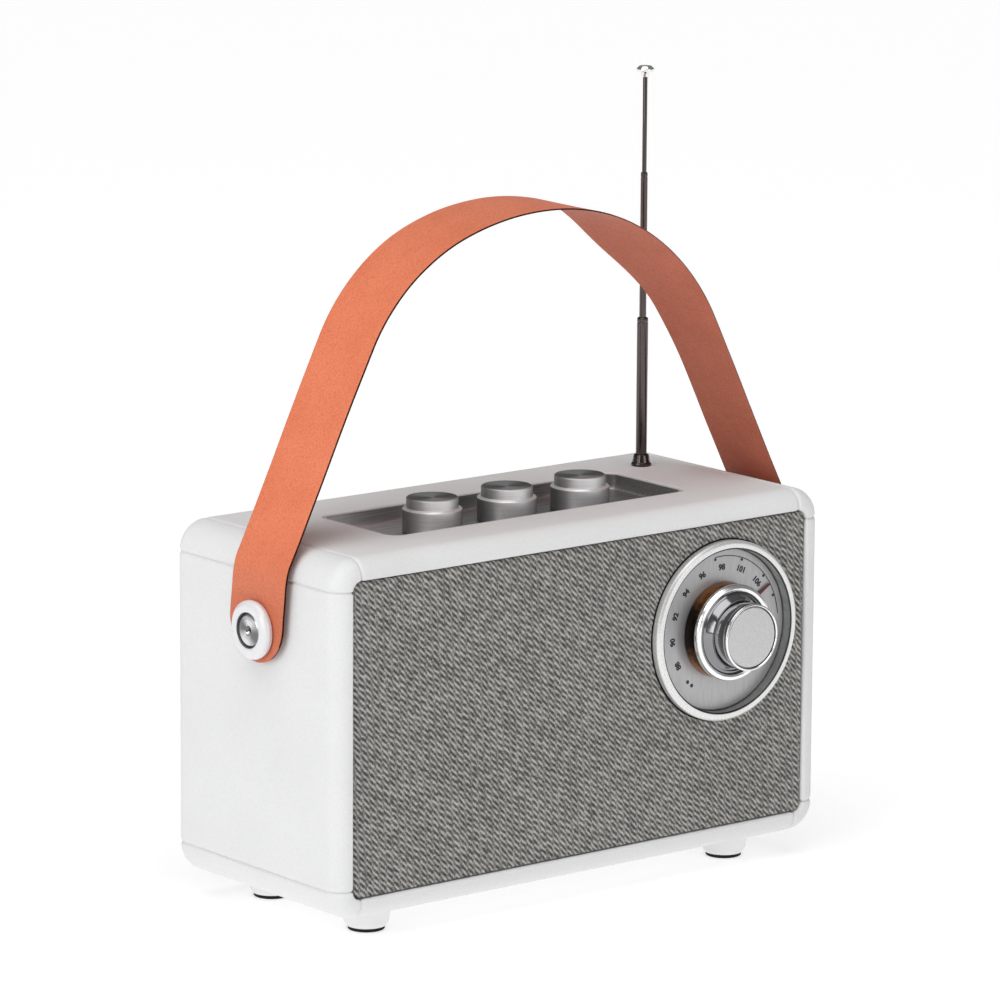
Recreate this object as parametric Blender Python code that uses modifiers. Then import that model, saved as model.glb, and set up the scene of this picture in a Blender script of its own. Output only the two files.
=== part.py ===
"""Portable radio with a leather-covered cabinet, a leather carrying strap and a telescopic aerial.

Units are metres. +Z is up, -Y is the front with the grille and the tuning dial, +X is the
right-hand side. The origin is on the floor, in the middle of the whole object's box.
"""

import math

import bmesh
import bpy
from mathutils import Matrix, Vector

# ---------------------------------------------------------------- driving dimensions
CABINET_WIDTH = 0.2000
CABINET_DEPTH = 0.0860
CABINET_HEIGHT = 0.1155
CORNER_RADIUS = 0.0100
RIM_WIDTH = 0.0070            # width of the rounded rim round the front and back openings
FRONT_ROUND = 0.0060          # outer rounding of the rim at the front
REAR_ROUND = 0.0052           # outer rounding of the rim at the back
LIP_ROUND = 0.0010            # small rounding where the rim turns into the opening
LIP_DEPTH = 0.0028            # how far the covering turns into the opening
SKIN = 0.0009                 # thickness of the leather covering
GAP = 0.0003                  # clearance between touching pieces
WALL = 0.0046                 # thickness of the board cabinet under the covering
CORNER_BLOCK = 0.0130         # leg of the corner blocks inside the cabinet
POCKET_DEPTH = 0.0085         # corner blocks stop this far from the front and the back

FOOT_HEIGHT = 0.0085
FOOT_TOP_RADIUS = 0.0080
FOOT_BASE_RADIUS = 0.0063
FOOT_X = 0.0745
FOOT_Y = 0.0250
PAD_HEIGHT = 0.0015
PAD_RADIUS = 0.0058

KNOB_REACH = 0.0140           # how far the tuning knob stands in front of the cabinet
DIAL_X = 0.0580
DIAL_Z = 0.0730               # above the bottom of the cabinet
BEZEL_RADIUS = 0.0298
BEZEL_BAND = 0.0029
BEZEL_PROUD = 0.0020
DIAL_SINK = 0.0036            # dial plate behind the face of the bezel
COLLAR_RADIUS = 0.0159
COLLAR_REACH = 0.0030         # collar in front of the cabinet
FLANGE_RADIUS = 0.0159
TUNING_RADIUS = 0.0110
NEEDLE_ANGLE = math.radians(32)
NEEDLE_TIP_RADIUS = 0.0241

TRAY_WIDTH = 0.1220
TRAY_DEPTH = 0.0400
TRAY_SINK = 0.0055
TRAY_RADIUS = 0.0050
TRAY_Y = -0.0010              # from the middle of the cabinet
CONTROL_Y = -0.0020           # the same for the row of knobs
CONTROL_PITCH = 0.0305
CONTROL_RADIUS = 0.00965
CONTROL_CAP_RADIUS = 0.0084
CONTROL_PROUD = 0.0060
CONTROL_STEP = 0.0034
SPINDLE_RADIUS = 0.0030

AERIAL_X = 0.0756
AERIAL_Y = 0.0206             # from the middle of the cabinet
AERIAL_RADII = (0.00185, 0.00115, 0.00075)
AERIAL_BORES = (0.00145, 0.00095)
AERIAL_REACH = (0.0500, 0.0985, 0.1302)
AERIAL_TAILS = (-0.0120, 0.0440, 0.0785)
AERIAL_HOLE = 0.00305
AERIAL_TIP_RADIUS = 0.0029
AERIAL_TIP_HEIGHT = 0.0040

STRAP_WIDTH = 0.0280
STRAP_THICKNESS = 0.0018
STRAP_CLEARANCE = 0.0010      # between the strap and the side of the cabinet
STRAP_BULGE = 0.0029          # how much further the right end stands off the top corner
STRAP_APEX = 0.2140           # top of the strap above the bottom of the cabinet
STRAP_LEAN = math.radians(27.5)
STRAP_TOP_RADIUS = 0.0900
STRAP_SHOULDERS = {-1: 0.0660, 1: 0.0760}    # bend radius of the left and right shoulder
STRAP_Y = -0.0050             # pivot, from the middle of the cabinet
STRAP_PIVOT_Z = 0.0885        # above the bottom of the cabinet
STRAP_TAIL = 0.0105           # strap below the pivot
STRAP_END_ROUND = 0.0136
BUTTON_RADIUS = 0.0095
BUTTON_HEIGHT = 0.0033
BOSS_RADIUS = 0.0040

SPEAKER_RADIUS = 0.0260
SPEAKER_XS = (-0.0620, -0.0040)
SPEAKER_Z = 0.0570            # above the bottom of the cabinet

# ---------------------------------------------------------------- derived places
FRONT = -(CABINET_DEPTH + KNOB_REACH) / 2 + KNOB_REACH
REAR = FRONT + CABINET_DEPTH
MIDDLE_Y = (FRONT + REAR) / 2
BOTTOM = FOOT_HEIGHT
TOP = BOTTOM + CABINET_HEIGHT
MIDDLE_Z = (BOTTOM + TOP) / 2
SIDE = CABINET_WIDTH / 2
CORE = SKIN + GAP             # depth of the board cabinet below the outer surface
INNER = CORE + WALL           # depth of the inner face of the board cabinet
BUTTON_FACE = SIDE + STRAP_CLEARANCE + STRAP_THICKNESS + GAP

COLLECTION = "portable_radio"
ROUND_STEPS = 20
ARC_STEPS = 4

# name: (red, green, blue), roughness, metallic
MATERIALS = {
    "white_leather": ((0.83, 0.83, 0.82), 0.55, 0.0),
    "tan_leather": ((0.62, 0.21, 0.09), 0.60, 0.0),
    "grille_fabric": ((0.42, 0.41, 0.39), 0.90, 0.0),
    "board": ((0.55, 0.43, 0.30), 0.80, 0.0),
    "silver": ((0.80, 0.80, 0.79), 0.35, 0.8),
    "chrome": ((0.85, 0.85, 0.86), 0.10, 1.0),
    "bronze": ((0.24, 0.13, 0.07), 0.30, 0.9),
    "brushed_metal": ((0.55, 0.55, 0.55), 0.35, 1.0),
    "dial_grey": ((0.56, 0.56, 0.57), 0.45, 0.3),
    "needle_red": ((0.45, 0.03, 0.04), 0.40, 0.0),
    "dark_nickel": ((0.20, 0.20, 0.21), 0.25, 1.0),
    "white_plastic": ((0.86, 0.86, 0.87), 0.25, 0.0),
    "black_plastic": ((0.03, 0.03, 0.03), 0.50, 0.0),
    "black_rubber": ((0.02, 0.02, 0.02), 0.80, 0.0),
    "circuit_board": ((0.02, 0.16, 0.07), 0.50, 0.0),
    "battery_blue": ((0.05, 0.12, 0.35), 0.40, 0.0),
    "steel": ((0.50, 0.50, 0.50), 0.35, 1.0),
}


# ---------------------------------------------------------------- scene helpers
def clear_scene():
    """Remove whatever the file holds, so that the model is all there is."""
    for obj in list(bpy.data.objects):
        bpy.data.objects.remove(obj, do_unlink=True)
    for collection in list(bpy.data.collections):
        bpy.data.collections.remove(collection)


def make_collections():
    for name in (COLLECTION, "cutters"):
        bpy.context.scene.collection.children.link(bpy.data.collections.new(name))


def make_materials():
    for name, (colour, roughness, metallic) in MATERIALS.items():
        material = bpy.data.materials.new(name)
        material.use_nodes = True
        shader = material.node_tree.nodes["Principled BSDF"]
        shader.inputs["Base Color"].default_value = (*colour, 1.0)
        shader.inputs["Roughness"].default_value = roughness
        shader.inputs["Metallic"].default_value = metallic


def add(name, data, material=None, matrix=None):
    """Link a new object that holds data; without a material it is a cutter."""
    obj = bpy.data.objects.new(name, data)
    folder = COLLECTION if material else "cutters"
    bpy.data.collections[folder].objects.link(obj)
    if material:
        data.materials.append(bpy.data.materials[material])
    else:
        obj.hide_render = True
        obj.display_type = "WIRE"
    obj.matrix_world = matrix or Matrix()
    return obj


def frame_at(origin, x_axis, y_axis):
    """Matrix that puts local X and Y along two world directions at an origin."""
    x_axis = Vector(x_axis)
    y_axis = Vector(y_axis)
    matrix = Matrix((x_axis, y_axis, x_axis.cross(y_axis))).transposed().to_4x4()
    matrix.translation = Vector(origin)
    return matrix


def facing_front(x, y, z):
    """Local XY is the world XZ plane, and local Z points to the front."""
    return frame_at((x, y, z), (1, 0, 0), (0, 0, 1))


def facing_side(x, y, z, side):
    """Local Z points outwards from the left (-1) or right (+1) side."""
    return frame_at((x, y, z), (0, side, 0), (0, 0, 1))


def upright(x, y, z):
    return Matrix.Translation((x, y, z))


# ---------------------------------------------------------------- shape helpers
def arc(centre_x, centre_y, radius, start, end, steps=ARC_STEPS):
    """Points on an arc, from start to end in degrees."""
    points = []
    for i in range(steps + 1):
        angle = math.radians(start + (end - start) * i / steps)
        points.append((centre_x + radius * math.cos(angle), centre_y + radius * math.sin(angle)))
    return points


def circle(radius, x=0.0, y=0.0, steps=ROUND_STEPS):
    return arc(x, y, radius, 0, 360 - 360 / steps, steps - 1)


def rounded_rectangle(width, height, radius, x=0.0, y=0.0, steps=ARC_STEPS):
    points = []
    for i, (sign_x, sign_y) in enumerate(((1, 1), (-1, 1), (-1, -1), (1, -1))):
        corner_x = x + sign_x * (width / 2 - radius)
        corner_y = y + sign_y * (height / 2 - radius)
        points += arc(corner_x, corner_y, radius, 90 * i, 90 * i + 90, steps)
    return points


def chamfered_rectangle(width, height, chamfer):
    half_w = width / 2
    half_h = height / 2
    return [
        (half_w, half_h - chamfer), (half_w - chamfer, half_h),
        (-half_w + chamfer, half_h), (-half_w, half_h - chamfer),
        (-half_w, -half_h + chamfer), (-half_w + chamfer, -half_h),
        (half_w - chamfer, -half_h), (half_w, -half_h + chamfer),
    ]


def outline_curve(name, outlines, thickness):
    """Flat outlines, the later ones being holes, extruded by thickness about local Z = 0."""
    curve = bpy.data.curves.new(name, "CURVE")
    curve.dimensions = "2D"
    curve.fill_mode = "BOTH"
    curve.extrude = thickness / 2
    for outline in outlines:
        spline = curve.splines.new("POLY")
        spline.points.add(len(outline) - 1)
        for point, (x, y) in zip(spline.points, outline):
            point.co = (x, y, 0, 1)
        spline.use_cyclic_u = True
    return curve


def plate(name, outlines, thickness, material, matrix):
    """A flat piece that needs no cutting."""
    return add(name, outline_curve(name, outlines, thickness), material, matrix)


def cuttable_plate(name, outlines, thickness, material, matrix):
    """The same as a welded mesh, so that it takes modifiers and can be a cutter."""
    curve_object = add(name + "_outline", outline_curve(name, outlines, thickness))
    bpy.context.view_layer.update()
    evaluated = curve_object.evaluated_get(bpy.context.evaluated_depsgraph_get())
    mesh = bpy.data.meshes.new_from_object(evaluated)
    bpy.data.objects.remove(curve_object, do_unlink=True)
    shape = bmesh.new()
    shape.from_mesh(mesh)
    bmesh.ops.remove_doubles(shape, verts=shape.verts, dist=1e-6)
    bmesh.ops.recalc_face_normals(shape, faces=shape.faces)
    shape.to_mesh(mesh)
    shape.free()
    mesh.name = name
    mesh.materials.clear()
    return add(name, mesh, material, matrix)


def turned(name, profile, material, matrix, closed=False, steps=ROUND_STEPS):
    """A turned piece: (radius, height) points run down the outer side, about local Z."""
    mesh = bpy.data.meshes.new(name)
    edges = [(i, i + 1) for i in range(len(profile) - 1)]
    if closed:
        edges.append((len(profile) - 1, 0))
    mesh.from_pydata([(radius, 0, height) for radius, height in profile], edges, [])
    obj = add(name, mesh, material, matrix)
    screw = obj.modifiers.new("turn", "SCREW")
    screw.steps = steps
    screw.render_steps = steps
    screw.use_merge_vertices = True
    screw.merge_threshold = 1e-5
    screw.use_smooth_shade = True
    return obj


def tube(name, outer, inner, low, high, material, matrix, steps=ROUND_STEPS):
    profile = [(inner, high), (outer, high), (outer, low), (inner, low)]
    return turned(name, profile, material, matrix, closed=True, steps=steps)


def disc(name, radius, low, high, material, matrix, steps=ROUND_STEPS):
    profile = [(0, high), (radius, high), (radius, low), (0, low)]
    return turned(name, profile, material, matrix, steps=steps)


def box(name, size, centre, material=None):
    shape = bmesh.new()
    bmesh.ops.create_cube(shape, size=1.0)
    bmesh.ops.scale(shape, vec=size, verts=shape.verts)
    mesh = bpy.data.meshes.new(name)
    shape.to_mesh(mesh)
    shape.free()
    return add(name, mesh, material, upright(*centre))


def combine(obj, cutter, operation="DIFFERENCE"):
    boolean = obj.modifiers.new(operation.lower(), "BOOLEAN")
    boolean.operation = operation
    boolean.solver = "EXACT"
    boolean.object = cutter


def drill(obj, radius, matrix, length=0.04):
    """Cut a round hole along local Z of a matrix, centred on it."""
    name = obj.name + "_drill_" + str(len(obj.modifiers))
    cutter = disc(name, radius, -length / 2, length / 2, None, matrix)
    combine(obj, cutter)


# ---------------------------------------------------------------- cabinet
def rim_outline(depth, steps=ARC_STEPS):
    """The cabinet's outline, seen from the front, at a depth below its outer surface."""
    width = CABINET_WIDTH - 2 * depth
    height = CABINET_HEIGHT - 2 * depth
    radius = max(CORNER_RADIUS - depth, 0.0010)
    return rounded_rectangle(width, height, radius, steps=steps)


def round_end_edges(obj, front_width, rear_width):
    """Round the edges of a block at its front (local +Z) and at its back."""
    shape = bmesh.new()
    shape.from_mesh(obj.data)
    bmesh.ops.dissolve_limit(
        shape, angle_limit=math.radians(1), verts=shape.verts, edges=shape.edges)
    front_z = max(vertex.co.z for vertex in shape.verts)
    for level, width in ((front_z, front_width), (-front_z, rear_width)):
        edges = [
            edge for edge in shape.edges
            if all(abs(vertex.co.z - level) < 1e-6 for vertex in edge.verts)
        ]
        bmesh.ops.bevel(
            shape, geom=edges, offset=width, segments=3, profile=0.5, affect="EDGES")
    shape.to_mesh(obj.data)
    shape.free()


def make_shell():
    """The board cabinet: an open box with corner blocks that stop short of both openings."""
    block = cuttable_plate(
        "cabinet_shell", [rim_outline(CORE)], CABINET_DEPTH - 2 * CORE, "board",
        facing_front(0, MIDDLE_Y, MIDDLE_Z))
    round_end_edges(block, FRONT_ROUND - CORE, REAR_ROUND - CORE)
    inside = chamfered_rectangle(
        CABINET_WIDTH - 2 * INNER, CABINET_HEIGHT - 2 * INNER, CORNER_BLOCK)
    hollow = cuttable_plate(
        "cabinet_hollow", [inside], 2 * CABINET_DEPTH, None, facing_front(0, MIDDLE_Y, MIDDLE_Z))
    combine(block, hollow)
    for name, y in (("front_pocket", FRONT), ("rear_pocket", REAR)):
        pocket = cuttable_plate(
            name, [rim_outline(INNER - 0.0002)], 2 * POCKET_DEPTH, None,
            facing_front(0, y, MIDDLE_Z))
        combine(block, pocket)
    combine(block, tray_cutter("shell_tray_cutter"))
    drill(block, AERIAL_HOLE, upright(AERIAL_X, MIDDLE_Y + AERIAL_Y, TOP))
    for side in (-1, 1):
        pivot = facing_side(side * SIDE, MIDDLE_Y + STRAP_Y, BOTTOM + STRAP_PIVOT_Z, side)
        drill(block, 0.0019, pivot)
    for x, z in cover_screw_places():
        drill(block, 0.0014, facing_front(x, REAR - POCKET_DEPTH, z), 0.020)


def skin_section():
    """Closed outline of the covering as (along the depth of the cabinet, outwards)."""
    front = -CABINET_DEPTH / 2
    rear = CABINET_DEPTH / 2
    lip = -RIM_WIDTH
    outer = [(front + LIP_DEPTH, lip)]
    outer += arc(front + LIP_ROUND, lip + LIP_ROUND, LIP_ROUND, 270, 180, 2)
    outer += arc(front + FRONT_ROUND, -FRONT_ROUND, FRONT_ROUND, 180, 90)
    outer += arc(rear - REAR_ROUND, -REAR_ROUND, REAR_ROUND, 90, 0)
    outer += arc(rear - LIP_ROUND, lip + LIP_ROUND, LIP_ROUND, 0, -90, 2)
    outer += [(rear - LIP_DEPTH, lip)]
    inner = [(rear - LIP_DEPTH, lip + SKIN), (rear - SKIN, lip + SKIN)]
    inner += arc(rear - REAR_ROUND, -REAR_ROUND, REAR_ROUND - SKIN, 0, 90)
    inner += arc(front + FRONT_ROUND, -FRONT_ROUND, FRONT_ROUND - SKIN, 90, 180)
    inner += [(front + SKIN, lip + SKIN), (front + LIP_DEPTH, lip + SKIN)]
    if abs(RIM_WIDTH - LIP_ROUND - FRONT_ROUND) < 1e-6:
        outer.pop(4)
    return outer + inner


def make_flat_covering():
    """Top, bottom, left and right panels of the covering, between the corner strips."""
    length_x = CABINET_WIDTH - 2 * CORNER_RADIUS - GAP
    length_z = CABINET_HEIGHT - 2 * CORNER_RADIUS - GAP
    panels = (
        ("leather_top", (0, 0, 1), (0, MIDDLE_Y, TOP), length_x),
        ("leather_bottom", (0, 0, -1), (0, MIDDLE_Y, BOTTOM), length_x),
        ("leather_left", (-1, 0, 0), (-SIDE, MIDDLE_Y, MIDDLE_Z), length_z),
        ("leather_right", (1, 0, 0), (SIDE, MIDDLE_Y, MIDDLE_Z), length_z),
    )
    for name, outwards, origin, length in panels:
        matrix = frame_at(origin, (0, 1, 0), outwards)
        panel = cuttable_plate(name, [skin_section()], length, "white_leather", matrix)
        if name == "leather_top":
            combine(panel, tray_cutter("leather_tray_cutter"))
            drill(panel, AERIAL_HOLE, upright(AERIAL_X, MIDDLE_Y + AERIAL_Y, TOP))
        if name in ("leather_left", "leather_right"):
            side = outwards[0]
            hole = facing_side(side * SIDE, MIDDLE_Y + STRAP_Y, BOTTOM + STRAP_PIVOT_Z, side)
            drill(panel, 0.0024, hole, 0.006)


def make_corner_covering():
    """Four quarter-round strips that cover the long edges of the cabinet."""
    corners = (
        ("leather_corner_top_right", 1, 1, 0),
        ("leather_corner_top_left", -1, 1, 90),
        ("leather_corner_bottom_left", -1, -1, 180),
        ("leather_corner_bottom_right", 1, -1, 270),
    )
    for name, sign_x, sign_z, start in corners:
        shape = bmesh.new()
        ring = [
            shape.verts.new((CORNER_RADIUS + outwards, 0, -along))
            for along, outwards in skin_section()
        ]
        face = shape.faces.new(ring)
        sweep = math.pi / 2
        bmesh.ops.spin(
            shape, geom=[face], cent=(0, 0, 0), axis=(0, 0, 1), dvec=(0, 0, 0),
            angle=sweep, steps=5, use_duplicate=False)
        bmesh.ops.recalc_face_normals(shape, faces=shape.faces)
        mesh = bpy.data.meshes.new(name)
        shape.to_mesh(mesh)
        shape.free()
        x = sign_x * (SIDE - CORNER_RADIUS)
        z = MIDDLE_Z + sign_z * (CABINET_HEIGHT / 2 - CORNER_RADIUS)
        turn = Matrix.Rotation(math.radians(start), 4, "Z")
        add(name, mesh, "white_leather", facing_front(x, MIDDLE_Y, z) @ turn)


# ---------------------------------------------------------------- front
def make_baffle():
    outlines = [rim_outline(INNER + GAP)]
    dial_z = BOTTOM + DIAL_Z - MIDDLE_Z
    outlines.append(circle(BEZEL_RADIUS + 0.0005, DIAL_X, dial_z))
    for x in SPEAKER_XS:
        outlines.append(circle(SPEAKER_RADIUS - 0.0030, x, BOTTOM + SPEAKER_Z - MIDDLE_Z))
    plate("baffle_board", outlines, 0.0045, "board", facing_front(0, FRONT + 0.00535, MIDDLE_Z))


def make_grille():
    hole = circle(BEZEL_RADIUS + 0.0004, DIAL_X, BOTTOM + DIAL_Z - MIDDLE_Z, 36)
    outline = rim_outline(RIM_WIDTH + 0.0004)
    plate("grille_cloth", [outline, hole], 0.0018, "grille_fabric",
          facing_front(0, FRONT + 0.0017, MIDDLE_Z))


def make_speakers():
    for side, x in zip(("left", "right"), SPEAKER_XS):
        place = facing_front(x, FRONT + 0.0079, BOTTOM + SPEAKER_Z)
        basket = [
            (0, -0.0135), (0.0105, -0.0135), (0.0220, -0.0022), (0.0220, 0), (SPEAKER_RADIUS, 0),
            (SPEAKER_RADIUS, -0.0020), (0.0150, -0.0120), (0.0150, -0.0220), (0, -0.0220),
        ]
        turned("speaker_basket_" + side, basket, "steel", place)
        cone = [
            (0, -0.0060), (0.0060, -0.0060), (0.0185, -0.0003), (0.0215, -0.0003),
            (0.0215, -0.0012), (0.0190, -0.0012), (0.0085, -0.0110), (0, -0.0110),
        ]
        turned("speaker_cone_" + side, cone, "black_plastic", place)


def make_dial():
    place = facing_front(DIAL_X, FRONT, BOTTOM + DIAL_Z)
    inner = BEZEL_RADIUS - BEZEL_BAND
    lip = inner - 0.0030
    back = -0.0050
    shelf = BEZEL_PROUD - DIAL_SINK - 0.0012 - GAP
    ring = [
        (inner, BEZEL_PROUD - 0.0004), (inner + 0.0004, BEZEL_PROUD),
        (BEZEL_RADIUS - 0.0008, BEZEL_PROUD), (BEZEL_RADIUS, BEZEL_PROUD - 0.0008),
        (BEZEL_RADIUS, back), (lip, back), (lip, shelf), (inner, shelf),
    ]
    turned("dial_bezel", ring, "silver", place, closed=True, steps=36)
    face = BEZEL_PROUD - DIAL_SINK
    tube("dial_plate", inner - GAP, 0.0040, face - 0.0012, face, "dial_grey", place, steps=36)


def make_tuning_knob():
    """Collar, knob, knob face, shaft and needle, which all turn together."""
    place = facing_front(DIAL_X, FRONT, BOTTOM + DIAL_Z)
    plate_face = BEZEL_PROUD - DIAL_SINK
    tube("tuning_collar", COLLAR_RADIUS, SPINDLE_RADIUS + GAP, plate_face + GAP, COLLAR_REACH,
         "bronze", place)
    flange = COLLAR_REACH + GAP
    shoulder = flange + 0.0025
    face = KNOB_REACH
    bore = SPINDLE_RADIUS + GAP
    profile = [
        (0, face - 0.0010), (TUNING_RADIUS - 0.0006, face - 0.0010),
        (TUNING_RADIUS - 0.0006, face - 0.0003), (TUNING_RADIUS - 0.0003, face),
        (TUNING_RADIUS, face - 0.0006), (TUNING_RADIUS, shoulder),
        (FLANGE_RADIUS - 0.0014, shoulder), (FLANGE_RADIUS, shoulder - 0.0010),
        (FLANGE_RADIUS, flange), (bore, flange), (bore, face - 0.0040), (0, face - 0.0040),
    ]
    turned("tuning_knob", profile, "chrome", place, steps=24)
    disc("tuning_knob_face", TUNING_RADIUS - 0.0009, face - 0.0007, face - 0.0001,
         "brushed_metal", place)
    disc("tuning_shaft", SPINDLE_RADIUS, -0.0085, face - 0.0045, "steel", place, steps=16)
    length = NEEDLE_TIP_RADIUS - COLLAR_RADIUS - GAP
    middle = NEEDLE_TIP_RADIUS - length / 2
    needle = box("dial_needle", (length, 0.0007, 0.0004), (0, 0, 0), "needle_red")
    offset = Matrix.Translation((middle, 0, plate_face + 0.0006))
    needle.matrix_world = place @ Matrix.Rotation(NEEDLE_ANGLE, 4, "Z") @ offset


def make_tuner():
    centre = (DIAL_X, FRONT + 0.0158, BOTTOM + DIAL_Z)
    box("tuner_unit", (0.0300, 0.0140, 0.0300), centre, "black_plastic")


# ---------------------------------------------------------------- top controls
def tray_cutter(name):
    outline = rounded_rectangle(TRAY_WIDTH, TRAY_DEPTH, TRAY_RADIUS)
    return cuttable_plate(
        name, [outline], 0.0200, None, upright(0, MIDDLE_Y + TRAY_Y, TOP))


def control_xs():
    return (-CONTROL_PITCH, 0.0, CONTROL_PITCH)


def make_tray():
    floor = 0.0012
    wall = 0.0008
    outline = rounded_rectangle(
        TRAY_WIDTH - 2 * GAP, TRAY_DEPTH - 2 * GAP, TRAY_RADIUS - GAP)
    height = TRAY_SINK + floor
    centre = upright(0, MIDDLE_Y + TRAY_Y, TOP - height / 2)
    tray = cuttable_plate("control_tray", [outline], height, "brushed_metal", centre)
    pocket = rounded_rectangle(
        TRAY_WIDTH - 2 * (GAP + wall), TRAY_DEPTH - 2 * (GAP + wall), TRAY_RADIUS - GAP - wall)
    cutter = cuttable_plate(
        "tray_pocket", [pocket], 2 * TRAY_SINK, None, upright(0, MIDDLE_Y + TRAY_Y, TOP))
    combine(tray, cutter)
    for x in control_xs():
        hole = upright(x, MIDDLE_Y + CONTROL_Y, TOP - TRAY_SINK)
        drill(tray, SPINDLE_RADIUS + 0.0005, hole, 0.006)


def make_control_board():
    """Circuit board under the tray that carries three rotary controls."""
    can_top = -TRAY_SINK - 0.0012 - GAP
    can_height = 0.0070
    y = MIDDLE_Y + CONTROL_Y
    board_z = TOP + can_top - can_height - 0.0003
    board = box("control_board", (0.0920, 0.0240, 0.0016), (0, y, board_z), "circuit_board")
    for x in control_xs():
        can = disc("can_shape", 0.0080, can_top - can_height, can_top, None, upright(x, y, TOP))
        combine(board, can, "UNION")


def make_controls():
    bore = SPINDLE_RADIUS + GAP
    step = CONTROL_PROUD - CONTROL_STEP
    bottom = -TRAY_SINK + GAP
    knob = [
        (0, CONTROL_PROUD), (CONTROL_CAP_RADIUS - 0.0004, CONTROL_PROUD),
        (CONTROL_CAP_RADIUS, CONTROL_PROUD - 0.0004), (CONTROL_CAP_RADIUS, step + 0.0001),
        (CONTROL_RADIUS - 0.0005, step), (CONTROL_RADIUS, step - 0.0005),
        (CONTROL_RADIUS, bottom), (bore, bottom), (bore, 0.0012), (0, 0.0012),
    ]
    spindle_foot = -TRAY_SINK - 0.0012
    for name, x in zip(("volume", "bass", "treble"), control_xs()):
        place = upright(x, MIDDLE_Y + CONTROL_Y, TOP)
        turned(name + "_knob", knob, "brushed_metal", place)
        disc(name + "_spindle", SPINDLE_RADIUS, spindle_foot, 0.0009, "steel", place, steps=12)


# ---------------------------------------------------------------- aerial
def make_aerial():
    place = upright(AERIAL_X, MIDDLE_Y + AERIAL_Y, TOP)
    bore = AERIAL_RADII[0] + 0.00025
    collar = [
        (bore, 0.0038), (0.00245, 0.0038), (0.0027, 0.0030), (0.0034, 0.0008), (0.0034, GAP),
        (0.0027, GAP), (0.0027, -0.0150), (bore, -0.0150),
    ]
    turned("aerial_collar", collar, "dark_nickel", place, closed=True, steps=20)
    names = ("aerial_lower", "aerial_middle")
    for i, name in enumerate(names):
        tube(name, AERIAL_RADII[i], AERIAL_BORES[i], AERIAL_TAILS[i], AERIAL_REACH[i],
             "dark_nickel", place, steps=16)
    disc("aerial_upper", AERIAL_RADII[2], AERIAL_TAILS[2], AERIAL_REACH[2],
         "dark_nickel", place, steps=12)
    base = AERIAL_REACH[2] + GAP
    tip = [
        (0, base + AERIAL_TIP_HEIGHT), (0.0018, base + AERIAL_TIP_HEIGHT),
        (AERIAL_TIP_RADIUS, base + 0.0032), (AERIAL_TIP_RADIUS, base + 0.0018),
        (0.0013, base), (0, base),
    ]
    turned("aerial_tip", tip, "chrome", place, steps=20)


# ---------------------------------------------------------------- strap
def strap_half(side):
    """Middle line of one half of the strap from its lower end to its top, with x outwards."""
    corner_x = SIDE - CORNER_RADIUS
    corner_z = CABINET_HEIGHT - CORNER_RADIUS
    stand_off = CORNER_RADIUS + STRAP_CLEARANCE + STRAP_THICKNESS / 2
    bend = stand_off + (STRAP_BULGE if side > 0 else 0.0)
    lean_cos = math.cos(STRAP_LEAN)
    lean_sin = math.sin(STRAP_LEAN)
    # the shoulder touches the leaning leg on one side and the top curve on the other
    shoulder = STRAP_SHOULDERS[side]
    top_z = STRAP_APEX - STRAP_THICKNESS / 2 - STRAP_TOP_RADIUS
    reach = corner_x * lean_cos + corner_z * lean_sin + bend - shoulder
    inside = STRAP_TOP_RADIUS - shoulder
    rise = reach - top_z * lean_sin
    along = math.sqrt(inside * inside - rise * rise)
    shoulder_x = rise * lean_cos - along * lean_sin
    shoulder_z = top_z + rise * lean_sin + along * lean_cos
    meet = math.degrees(math.atan2(shoulder_z - top_z, shoulder_x))
    lean = math.degrees(STRAP_LEAN)
    leave = 14.0
    foot_x = corner_x + stand_off
    path = [(foot_x, STRAP_PIVOT_Z - STRAP_END_ROUND), (foot_x, STRAP_PIVOT_Z + BUTTON_RADIUS)]
    path += s_curve(path[-1], arc(corner_x, corner_z, bend, leave, leave, 1)[0], leave)
    path += arc(corner_x, corner_z, bend, leave, lean, 3)
    path += arc(shoulder_x, shoulder_z, shoulder, lean, meet, 6)
    path += arc(0, top_z, STRAP_TOP_RADIUS, meet, 90, 5)[1:]
    return path


def s_curve(start, end, lean):
    """Points between an upright start and an end that leans inwards by some degrees."""
    steps = 4
    height = end[1] - start[1]
    slope = -math.tan(math.radians(lean)) * height
    points = []
    for i in range(1, steps):
        t = i / steps
        blend = t * t * (3 - 2 * t)
        x = start[0] + (end[0] - start[0]) * blend + slope * t * t * (t - 1)
        points.append((x, start[1] + height * t))
    return points


def thickened(path, thickness):
    """Closed outline of a band of some thickness about a path."""
    outer = []
    inner = []
    for i, point in enumerate(path):
        before = Vector(path[max(i - 1, 0)])
        after = Vector(path[min(i + 1, len(path) - 1)])
        along = (after - before).normalized()
        across = Vector((-along.y, along.x)) * thickness / 2
        outer.append(tuple(Vector(point) + across))
        inner.append(tuple(Vector(point) - across))
    return outer + list(reversed(inner))


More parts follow.
